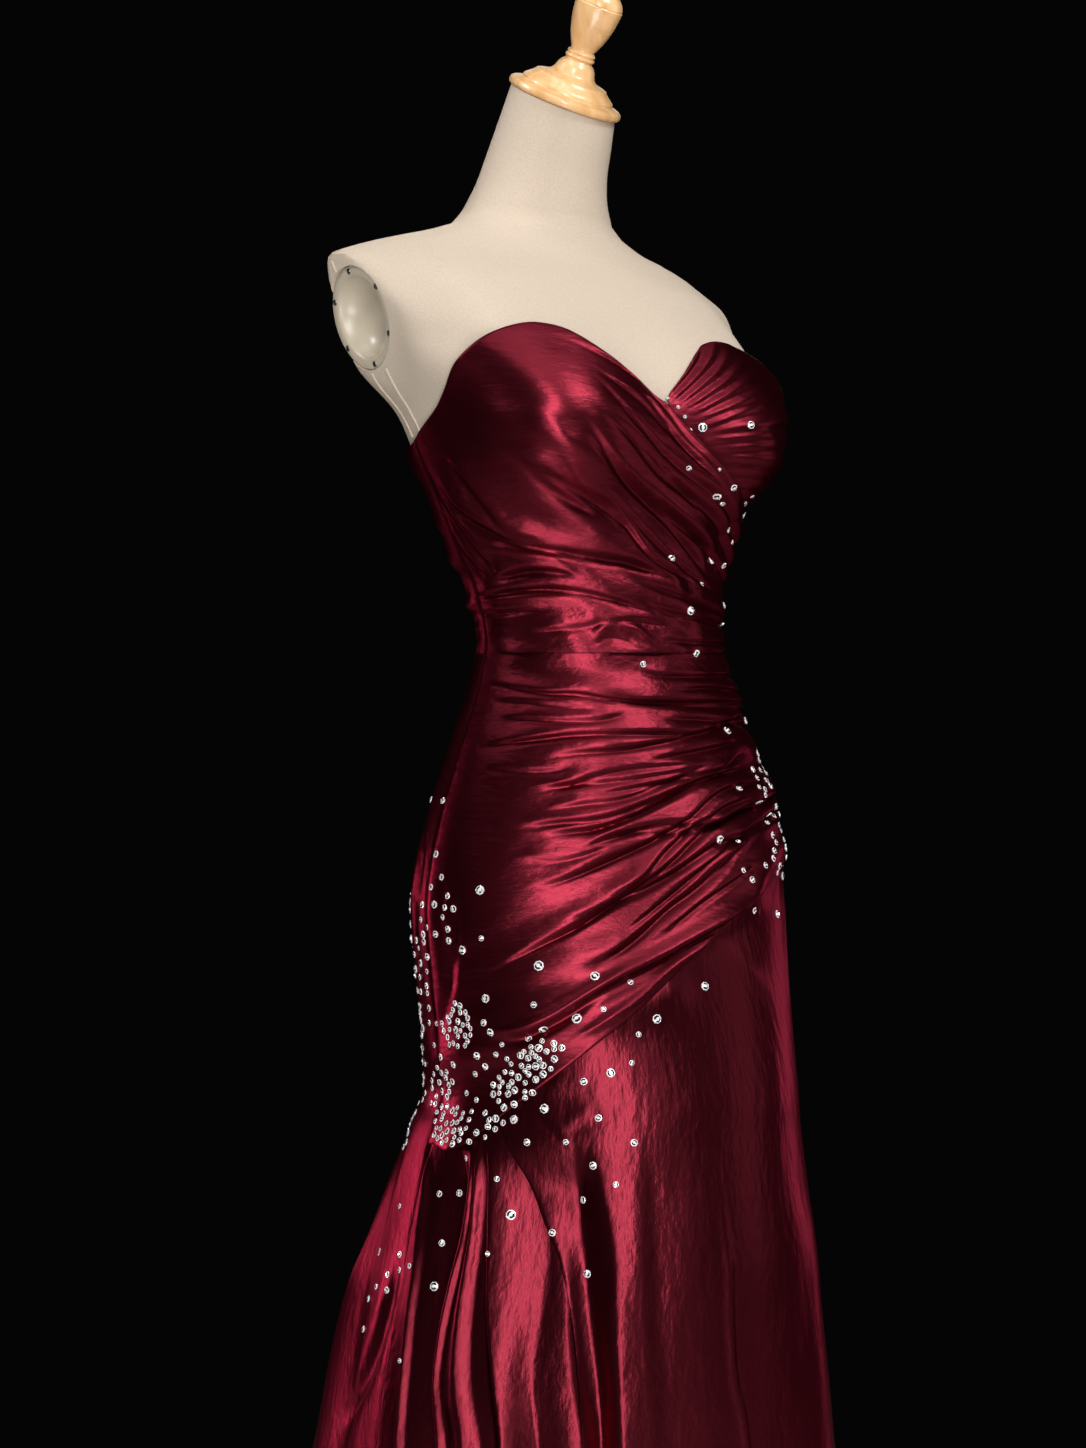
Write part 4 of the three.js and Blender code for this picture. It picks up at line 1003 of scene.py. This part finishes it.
# Strewn stones: middle across, middle height, half width, half height, lean in degrees, count,
# least and greatest width, and the least gap between them.
STREWN_STONES = [
    (-117, 729, 13, 18, 10, 32, 3.6, 5.2, 0.3),
    (-58, 692, 37, 14, 40, 50, 3.6, 5.6, 0.9),
    (-131, 676, 9, 17, 0, 26, 3.6, 5.0, 0.3),
    (-121, 646, 16, 16, 0, 40, 3.4, 5.2, 0.3),
    (-80, 652, 34, 5, 40, 15, 3.8, 5.4, 1.2),
    (-150, 780, 9, 60, 6, 40, 3.6, 6.0, 2.0),
    (-110, 690, 40, 48, 0, 34, 3.4, 5.6, 4.0),
    (-134, 820, 14, 30, 0, 12, 3.6, 5.2, 4.0),
    (137, 940, 6, 20, -14, 24, 3.6, 5.0, 0.3),
    (150, 882, 7, 34, 4, 20, 3.6, 5.4, 1.5),
    (112, 1146, 16, 36, 0, 8, 3.0, 4.4, 7.0),
]
# The same on the hidden sides, by middle angle and height, half spreads in degrees and
# millimetres, count and widths.
HIDDEN_STONES = [
    (-112, 770, 14, 70, 34, 3.6, 6.0, 3.0), (-118, 660, 12, 40, 18, 3.6, 5.4, 4.0),
    (82, 930, 14, 50, 30, 3.6, 5.6, 2.5), (92, 850, 12, 44, 14, 3.6, 5.6, 5.0),
    (74, 1150, 12, 40, 8, 3.0, 5.0, 8.0), (-104, 540, 12, 60, 8, 3.6, 5.4, 10.0),
]
SEAT_REACH = 5                 # a stone sits on cloth no farther than this from its place


def seat(angle, height):
    """The point of the outermost cloth at an angle and height, and its outward normal."""
    best = None
    for angles, heights, outer in faces_made:
        gap = np.hypot(turn_between(angles, angle) * UV_PER_DEGREE, heights - height)
        row, column = np.unravel_index(int(gap.argmin()), gap.shape)
        if gap[row, column] > SEAT_REACH:
            continue
        r0, r1 = max(row - 1, 0), min(row + 1, gap.shape[0] - 1)
        c0, c1 = max(column - 1, 0), min(column + 1, gap.shape[1] - 1)
        normal = np.cross(outer[row, c1] - outer[row, c0], outer[r1, column] - outer[r0, column])
        normal = Vector(normal).normalized()
        point = Vector(outer[row, column])
        reach = math.hypot(point.x, point.y)
        if best is None or reach > best[0]:
            best = (reach, point, normal)
    return None if best is None else best[1:]


TRIES_A_STONE = 30


def strewn(rng, half_wide, half_high, lean, count, least, most, gap):
    """Places inside a leaning oval, kept clear of one another."""
    placed = []
    for _ in range(count * TRIES_A_STONE):
        if len(placed) >= count:
            break
        size = rng.uniform(least, most)
        ring, turn = math.sqrt(rng.uniform(0, 1)), rng.uniform(0, math.tau)
        x, z = half_wide * ring * math.cos(turn), half_high * ring * math.sin(turn)
        c, s = math.cos(math.radians(lean)), math.sin(math.radians(lean))
        x, z = x * c - z * s, x * s + z * c
        if all(math.hypot(x - a, z - b) > (size + w) / 2 + gap for a, b, w in placed):
            placed.append((x, z, size))
    return placed


STONE_SIDES = 8
STONE_LARGER = 1.18            # the stones' widths with their settings, over the rows' widths
STONE_RINGS = [(0.42, 0.60), (0.88, 0.34), (1.0, 0.22)]         # radius, height: table, bevel, girdle
SETTING_RINGS = [(1.0, 0.24), (1.12, 0.22), (1.06, -0.28)]
PRONGS, PRONG_SIDES, PRONG_OUT, PRONG_UP, PRONG_RADIUS = 4, 4, 0.98, 0.30, 0.15
PRONG_LEAN = Matrix.Rotation(math.radians(-30), 4, "Y")
PRONG_RINGS = [(PRONG_RADIUS * 0.7, 0.12), (PRONG_RADIUS, 0.0), (PRONG_RADIUS, -0.2)]


def ringed(rings, sides, turn=0.0):
    """The points and quads of rings from the top down, without ends."""
    around = [turn + i * math.tau / sides for i in range(sides)]
    points = [Vector((r * math.cos(a), r * math.sin(a), z)) for r, z in rings for a in around]
    quads = []
    for k in range(len(rings) - 1):
        for i in range(sides):
            j = (i + 1) % sides
            quads.append((k * sides + i, (k + 1) * sides + i, (k + 1) * sides + j, k * sides + j))
    return points, quads


def add_ringed(points, faces, rings, sides, place_at, turn=0.0):
    """Add a closed solid made of rings to a growing mesh."""
    new, quads = ringed(rings, sides, turn)
    base = len(points)
    points += [place_at @ p for p in new]
    faces += [tuple(base + i for i in quad) for quad in quads]
    faces.append(tuple(base + i for i in range(sides)))
    last = base + (len(rings) - 1) * sides
    faces.append(tuple(last + i for i in range(sides - 1, -1, -1)))


def mixed_object(name, points, faces, look, smooth=False, dark=None, painted_dark_faces=()):
    mesh = bpy.data.meshes.new(name)
    mesh.from_pydata([tuple(p * MM) for p in points], [], faces)
    mesh.update()
    if smooth:
        mesh.shade_smooth()
        mesh.set_sharp_from_angle(angle=math.radians(40))
    obj = bpy.data.objects.new(name, mesh)
    bpy.context.scene.collection.objects.link(obj)
    mesh.materials.append(look)
    if dark is not None:
        mesh.materials.append(dark)
        slots = np.zeros(len(mesh.polygons), np.int32)
        slots[list(painted_dark_faces)] = 1
        mesh.polygons.foreach_set("material_index", slots)
    return obj


stone_places = []
rng = np.random.default_rng(31)
for across, high, width in LOOSE_STONES:
    stone_places.append((*on_gown(across, high), width))
for across, high, half_wide, half_high, lean, count, least, most, gap in STREWN_STONES:
    for x, z, width in strewn(rng, half_wide, half_high, lean, count, least, most, gap):
        stone_places.append((*on_gown(across + x, high + z), width))
for turn, high, half_turn, half_high, count, least, most, gap in HIDDEN_STONES:
    half_wide = half_turn * UV_PER_DEGREE
    for x, z, width in strewn(rng, half_wide, half_high, 0, count, least, most, gap):
        stone_places.append((turn + x / UV_PER_DEGREE, high + z, width))
stones, stone_faces, settings, setting_faces = [], [], [], []
seated = []
for angle, high, width in stone_places:
    spot = seat(angle, high)
    if spot is None or any((spot[0] - p).length < (width + w) / 2 for p, w in seated):
        continue
    seated.append((spot[0], width))
    stand = spot[1].to_track_quat("Z", "Y").to_matrix().to_4x4()
    width *= STONE_LARGER
    at = Matrix.Translation(spot[0]) @ stand @ Matrix.Scale(width / 2 / SETTING_RINGS[1][0], 4)
    turned = rng.uniform(0, math.tau)
    add_ringed(stones, stone_faces, STONE_RINGS, STONE_SIDES, at, turned)
    add_ringed(settings, setting_faces, SETTING_RINGS, STONE_SIDES, at, turned)
    for i in range(PRONGS):
        spin = Matrix.Rotation(turned + i * math.tau / PRONGS, 4, "Z")
        prong = at @ spin @ Matrix.Translation((PRONG_OUT, 0, PRONG_UP)) @ PRONG_LEAN
        add_ringed(settings, setting_faces, PRONG_RINGS, PRONG_SIDES, prong)
PER_STONE = (len(STONE_RINGS) - 1) * STONE_SIDES + 2
# Most bevel facets of each stone take the near-black copy of the glass: painted dark reflections.
painted_dark_bevels = [i for i in range(len(stone_faces)) if i % PER_STONE < STONE_SIDES and i % 4 != 3]
gown_stones = mixed_object("gown_stones", stones, stone_faces, glass, dark=painted_dark_facet, painted_dark_faces=painted_dark_bevels)
gown_settings = mixed_object("gown_stone_settings", settings, setting_faces, setting)

# ---- the form ----
COVER_COLUMNS, COVER_STEP = 180, 4.5
TORSO_BOTTOM, TORSO_TOP = FORM[0][0], FORM[-1][0]
NECK_STEP = 0.25               # of the way from one row of the neck to the next
neck_lines = [smooth_line([(i, row[c]) for i, row in enumerate(NECK)]) for c in range(7)]


def neck_place(step):
    """Where the neck's ring stands and leans at a row of NECK, or between two rows."""
    x, y, z, _, _, forward, aside = (float(line(step)) for line in neck_lines)
    lean = Matrix.Rotation(math.radians(forward), 4, "X") @ Matrix.Rotation(math.radians(aside), 4, "Y")
    return Matrix.Translation((x, y, z)) @ lean


# Where the arm sockets sit in the shoulder ends.
SOCKET_X, SOCKET_Y, SOCKET_HEIGHT, SOCKET_TILT, SOCKET_TURN, SOCKET_STRETCH = 174, 80, 1302, 15, 5, 0.97
HIDDEN_BELOW = (8, 30)         # the cover steps in between these depths under the gown's top edge
# The shoulder narrows and drops towards the arm: how much, from how far out, over what heights.
SHOULDER_NARROW, SHOULDER_NARROW_FROM, SHOULDER_NARROW_RISE = 0.36, (118, 186), (1236, 1290)
SHOULDER_DROP, SHOULDER_DROP_FROM, SHOULDER_DROP_RISE = 7.0, (105, 190), (1290, 1345)


def form_point(angle, height):
    """The form's face; towards the arm the shoulder narrows to the socket's rim."""
    out = -HIDDEN_IN * ease_step(top_edge(angle) - height, *HIDDEN_BELOW)
    middle_x, middle_y = form_lines["middle_x"](height), form_lines["middle_y"](height)
    radius = form_radius(angle, height) + out
    points = place(np.asarray(angle, float), height, radius, middle_x, middle_y)
    far = np.abs(points[..., 0] - middle_x)
    share = ease_step(far, *SHOULDER_NARROW_FROM) * ease_step(height, *SHOULDER_NARROW_RISE)
    points[..., 1] = SOCKET_Y + (points[..., 1] - SOCKET_Y) * (1 - SHOULDER_NARROW * share)
    dropped = ease_step(far, *SHOULDER_DROP_FROM) * ease_step(height, *SHOULDER_DROP_RISE)
    points[..., 2] -= SHOULDER_DROP * dropped
    return points


def socket_place(side):
    """The arm socket's middle, with its axis pointing out of the shoulder."""
    x = float(form_lines["middle_x"](SOCKET_HEIGHT)) + side * SOCKET_X
    at = Matrix.Translation((x, SOCKET_Y, SOCKET_HEIGHT - x * SLANT_RISE))
    forward = Matrix.Rotation(math.radians(-side * SOCKET_TURN), 4, "Z")
    turn = Matrix.Rotation(math.radians(side * (90 + SOCKET_TILT)), 4, "Y")
    return at @ forward @ turn @ Matrix.Diagonal((1, SOCKET_STRETCH, 1, 1))


PLATE_DEEP, SHOULDER_ROLL = -3.0, 2.6
PLATE_SUNK = 2.4               # how far the socket's plate stands in from the shoulder's face
PRESSED_FROM = (50, 125)       # the pressing fades between these distances from the socket's middle
PRESSED_WITHIN = -90           # and leaves out whatever lies farther in than this


def flat_ended(points):
    """The shoulder ends pressed flat to the sockets' plates, easing away from them."""
    for side in (-1, 1):
        stand = socket_place(side)
        inward, outward = np.array(stand.inverted()), np.array(stand)
        local = points @ inward[:3, :3].T + inward[:3, 3]
        far = np.hypot(local[:, 0], local[:, 1])
        over = local[:, 2] - PLATE_DEEP
        soft = -SHOULDER_ROLL * np.log1p(np.exp(np.clip(-over / SHOULDER_ROLL, -30, 30)))
        share = (1 - ease_step(far, *PRESSED_FROM)) * (local[:, 2] > PRESSED_WITHIN)
        local[:, 2] += (PLATE_DEEP + soft - local[:, 2]) * share
        points = local @ outward[:3, :3].T + outward[:3, 3]
    return points


turns = np.arange(COVER_COLUMNS) * 360 / COVER_COLUMNS
rings = [form_point(turns, h) for h in np.arange(TORSO_BOTTOM, TORSO_TOP, COVER_STEP)]
rings.append(form_point(turns, TORSO_TOP))
for step in np.arange(0, len(NECK) - 0.99, NECK_STEP):
    half_wide, half_deep = float(neck_lines[3](step)), float(neck_lines[4](step))
    stand = neck_place(step)
    rings.append(np.array([
        stand @ Vector((half_wide * math.sin(math.radians(a)), -half_deep * math.cos(math.radians(a)), 0))
        for a in turns
    ]))
index = np.arange(len(rings) * COVER_COLUMNS).reshape(len(rings), COVER_COLUMNS)
ahead = np.roll(index, -1, axis=1)
quads = np.stack([index[:-1], ahead[:-1], ahead[1:], index[1:]], axis=-1).reshape(-1, 4)
cover_faces = [tuple(int(i) for i in q) for q in quads]
cover_faces.append(tuple(int(i) for i in index[0, ::-1]))
cover_faces.append(tuple(int(i) for i in index[-1]))
cover_points = [Vector(p) for p in flat_ended(np.concatenate(rings))]
form_cover = mixed_object("form_cover", cover_points, cover_faces, cover, smooth=True)


# The arm sockets: a plate let into each shoulder end, with a shallow glossy bowl and screws.
def in_metres(matrix):
    moved = matrix.copy()
    moved.translation = matrix.translation * MM
    return moved


def spun(name, outline, steps, look, at=None, smooth=35):
    """A turned piece: its outline is drawn point by point and spun round the upright axis."""
    bpy.ops.object.select_all(action="DESELECT")
    bpy.ops.mesh.primitive_plane_add(size=0.01)
    obj = bpy.context.active_object
    obj.name = name
    bpy.ops.object.mode_set(mode="EDIT")
    bpy.ops.mesh.select_all(action="SELECT")
    bpy.ops.mesh.merge(type="CENTER")
    bpy.ops.mesh.select_all(action="SELECT")
    bpy.ops.transform.translate(value=(outline[0][0] * MM, 0, outline[0][1] * MM))
    for (r0, z0), (r1, z1) in zip(outline, outline[1:]):
        bpy.ops.mesh.extrude_region_move(
            TRANSFORM_OT_translate={"value": ((r1 - r0) * MM, 0, (z1 - z0) * MM)})
    bpy.ops.mesh.select_all(action="SELECT")
    bpy.ops.mesh.spin(steps=steps, angle=math.tau, center=(0, 0, 0), axis=(0, 0, 1))
    bpy.ops.mesh.select_all(action="SELECT")
    bpy.ops.mesh.remove_doubles(threshold=0.00001)
    bpy.ops.mesh.normals_make_consistent(inside=False)
    bpy.ops.object.mode_set(mode="OBJECT")
    bpy.ops.object.shade_smooth_by_angle(angle=math.radians(smooth))
    if at is not None:
        obj.data.transform(in_metres(at))
    obj.data.materials.clear()
    obj.data.materials.append(look)
    return obj


SOCKET_OUTLINE = [
    (0, -30), (24, -27), (35, -19.5), (43, -9), (44, -7.5), (44, -4.6), (43.5, -3.6), (42.4, -3.2),
    (36.4, -3.2), (35.4, -3.6), (34.2, -4.6), (33.2, -6.4), (32.0, -9.0), (30.0, -12.4),
    (26.5, -16.4), (22, -19.6), (16, -22.4), (9, -24.2), (3, -24.9), (0, -25),
]
CUT_OUTLINE = [(0, -30.4), (24.6, -27.4), (35.6, -19.6), (44.3, -9.3), (44.3, 20), (0, 20)]
SCREW_OUTLINE = [(0, -2), (2.6, -2), (2.6, 0.1), (2.3, 0.55), (1.5, 0.8), (1.1, 0.8), (1.0, 0.3), (0, 0.3)]
SCREWS, SCREW_RING, SCREW_SEAT, SCREW_TURN = 6, 39.6, -3.2, 0.1
socket_pieces = []
for side, side_name in ((-1, "right"), (1, "left")):
    stand = socket_place(side) @ Matrix.Translation((0, 0, -PLATE_SUNK))
    plate = spun(f"socket_{side_name}", SOCKET_OUTLINE, 72, ivory, stand)
    cutter = spun("socket_cut", CUT_OUTLINE, 72, ivory, stand)
    cut = form_cover.modifiers.new("socket", "BOOLEAN")
    cut.operation = "DIFFERENCE"
    cut.solver = "EXACT"
    cut.object = cutter
    bpy.ops.object.select_all(action="DESELECT")
    bpy.context.view_layer.objects.active = form_cover
    form_cover.select_set(True)
    bpy.ops.object.modifier_apply(modifier="socket")
    form_cover.data.set_sharp_from_angle(angle=math.radians(30))
    bpy.data.objects.remove(cutter)
    screws = []
    for i in range(SCREWS):
        turn = (i + SCREW_TURN) * math.tau / SCREWS
        spot = (SCREW_RING * math.cos(turn), SCREW_RING * math.sin(turn), SCREW_SEAT)
        keep_round = Matrix.Diagonal((1, 1 / SOCKET_STRETCH, 1, 1))
        at = stand @ Matrix.Translation(spot) @ keep_round
        screws.append(spun(f"socket_screw_{i}", SCREW_OUTLINE, 16, chrome, at))
    bpy.ops.object.select_all(action="DESELECT")
    for screw in screws:
        screw.select_set(True)
    bpy.context.view_layer.objects.active = screws[0]
    bpy.ops.object.join()
    screws[0].name = f"socket_screws_{side_name}"
    socket_pieces.append((plate, screws[0], f"arm_socket_{side_name}"))

# The piped seams of the narrow panel under each arm, and the welt at the shoulder tip.
PIPING = [  # (angle, height) on the right; the left has the same, mirrored
    ((-88, 1258), (-88.8, 1250.5), (-90.4, 1237), (-90.4, 1223.5), (-88.8, 1210)),
    ((-97, 1257), (-98, 1248), (-99, 1236), (-98, 1222), (-96, 1208)),
    ((-92, 1353), (-92, 1347), (-92, 1341.5)),
]
PIPE_RADIUS, PIPE_SIDES = 1.2, 8
PIPING_MIDDLE_Y = 120          # the cords' outward side is away from this line


def piping(name, path):
    """A thin cord under the cover, laid along the form through (angle, height) marks."""
    path = smooth_path(path, 10)
    points = flat_ended(form_point(path[:, 0], path[:, 1]))
    ring = np.arange(PIPE_SIDES) * math.tau / PIPE_SIDES
    out = []
    for i, point in enumerate(points):
        run = Vector(points[min(i + 1, len(points) - 1)] - points[max(i - 1, 0)]).normalized()
        outward = Vector((point[0], point[1] - PIPING_MIDDLE_Y, 0)).normalized()
        side = run.cross(outward).normalized()
        up = side.cross(run)
        for t in ring:
            out.append(Vector(point) + (side * math.cos(t) + up * math.sin(t)) * PIPE_RADIUS)
    faces = []
    for i in range(len(points) - 1):
        here, there = i * PIPE_SIDES, (i + 1) * PIPE_SIDES
        for k in range(PIPE_SIDES):
            n = (k + 1) % PIPE_SIDES
            faces.append((here + k, there + k, there + n, here + n))
    return mixed_object(name, out, faces, cover, smooth=True)


pipes = []
for i, marks in enumerate(PIPING):
    pipes.append(piping(f"cover_piping_right_{i}", marks))
    pipes.append(piping(f"cover_piping_left_{i}", [(-a, h) for a, h in marks]))

# The turned neck cap and the floor stand.
NODE_GAP = 0.3
CAP_OUTLINE = [
    (0, 0), (46.5, 0), (48.8, 0.6), (50, 2.2), (50.2, 4), (49.6, 6), (48, 7.4), (45.5, 8.4), (42, 9.2),
    (40.6, 10.2), (40.4, 11.4), (39.4, 13), (36.5, 15.2), (34.2, 17), (32.4, 18.6), (31.4, 20.2),
    (29, 21.2), (24, 22.2), (20.6, 23.6), (18.4, 26), (17.2, 29), (16.2, 32), (14.4, 34.6),
    (12.2, 36.4), (11.5, 37.6), (11.5, 38.2), (12.6, 38.9), (12.9, 40), (12.4, 41.2), (11.4, 41.8),
    (11.6, 42.4), (12.2, 43.1), (12.2, 44.2), (11.4, 45.2), (10.3, 46), (10.4, 47.4), (11.6, 50),
    (13.6, 54), (15.6, 59), (17.4, 65), (18.9, 71), (20.0, 78), (20.6, 83), (20.9, 85.4), (20.5, 86.2),
    (20.0, 86.6), (20.3, 87.4), (19.8, 89.4), (18.2, 92.6), (15.6, 95.6), (12.2, 98.2), (8, 100),
    (4, 100.8), (0, 101),
]
cap_place = neck_place(len(NECK) - 1) @ Matrix.Translation((0, 0, NODE_GAP))
cap = spun("neck_cap_turned", CAP_OUTLINE, 96, beech, cap_place, smooth=28)
POLE_RADIUS, POLE_BEVEL, COLLAR_TOP = 16, 0.6, 36
POLE_FOOT, POLE_HEAD = COLLAR_TOP + NODE_GAP, TORSO_BOTTOM - NODE_GAP
pole = spun("stand_pole_tube", [
    (0, POLE_FOOT), (POLE_RADIUS - POLE_BEVEL, POLE_FOOT), (POLE_RADIUS, POLE_FOOT + POLE_BEVEL),
    (POLE_RADIUS, POLE_HEAD - POLE_BEVEL), (POLE_RADIUS - POLE_BEVEL, POLE_HEAD), (0, POLE_HEAD),
], 48, steel)
base = spun("stand_base_plate", [
    (0, 0), (147, 0), (149.2, 0.8), (150, 3), (150, 8.6), (149.4, 10.8), (147.6, 12.8), (144.6, 13.9),
    (140, 14.2), (60, 15.2), (36, 15.8), (29, 17.4), (26, 20.4), (24.4, 24.6), (22.8, 30), (22.4, 34.6),
    (21.6, COLLAR_TOP), (0, COLLAR_TOP),
], 96, steel)

# ---- the zip's slider and pull keep their CAD shapes ----
for zip_node in ("zip_slider", "zip_pull"):
    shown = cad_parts[zip_node]
    shown.data.materials.clear()
    shown.data.materials.append(zip_metal)

# ---- which piece stands for which part ----
for name, obj in cloth.items():
    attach(obj, "root")
    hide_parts(CLOTH_PIECES[name][0])
plain_pieces = [
    (gown_stones, "rhinestone", None), (gown_settings, "stone_setting", None),
    (form_cover, "cover", "form_torso"),
]
plain_pieces += [(pipe, "cover", None) for pipe in pipes]
for plate, screws, stands_for in socket_pieces:
    plain_pieces += [(plate, "ivory_plastic", stands_for), (screws, "steel", None)]
plain_pieces += [
    (cap, "beech", "neck_cap"), (pole, "steel", "stand_pole"), (base, "steel", "stand_base"),
]
for obj, slot, stands_for in plain_pieces:
    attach(obj, "root")
    if stands_for is not None:
        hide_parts(stands_for)

# ---- floor and light ----
bpy.ops.mesh.primitive_circle_add(vertices=128, radius=1.9, fill_type="NGON")
floor = bpy.context.active_object
floor.name = "floor"
floor_look, _, _ = material("pale_floor", (0.62, 0.61, 0.59), 0.8)
floor.data.materials.append(floor_look)


def soft_light(name, turn, rise, distance, wide, high, watts, at=(0, 0, 0.95), spread=180):
    """An oblong light at an angle round the form and a height angle above it."""
    data = bpy.data.lights.new(name, "AREA")
    data.shape = "RECTANGLE"
    data.size, data.size_y = wide, high
    data.energy = watts
    data.spread = math.radians(spread)
    obj = bpy.data.objects.new(name, data)
    bpy.context.scene.collection.objects.link(obj)
    a, e = math.radians(turn), math.radians(rise)
    side = Vector((math.sin(a) * math.cos(e), -math.cos(a) * math.cos(e), math.sin(e)))
    aim(obj, Vector(at) + side * distance, at)


soft_light("key", -25, 20, 2.7, 0.5, 2.0, 48)
soft_light("low", -38, -26, 2.0, 0.9, 0.7, 19, at=(0, 0, 1.12))
soft_light("fold_light", 22, 52, 2.6, 0.9, 0.5, 30, at=(0, 0, 0.85))
soft_light("overhead", -12, 78, 2.4, 1.2, 0.8, 9, at=(0, 0, 0.8))
soft_light("right_side", 58, 12, 3.2, 1.4, 1.8, 7)
soft_light("left_high", -100, 62, 2.4, 0.8, 0.4, 3.6, at=(0, 0, 0.75))
soft_light("right_strip", 104, 5, 2.6, 0.3, 0.8, 0.16, at=(0, 0, 0.4), spread=18)
soft_light("strip", -152, 14, 2.3, 0.4, 0.6, 1.4, at=(0, 0, 0.2), spread=46)
soft_light("shoulder_light", -110, 30, 2.2, 0.4, 0.4, 0.35, at=(-0.1, 0.05, 1.48), spread=16)
soft_light("back_fill", 150, 25, 3.4, 1.2, 1.8, 5)
world = bpy.data.worlds.new("studio")
world.use_nodes = True
world.node_tree.nodes["Background"].inputs["Color"].default_value = (0.0015, 0.0015, 0.0016, 1)
bpy.context.scene.world = world
bpy.context.scene.view_settings.view_transform = "Standard"
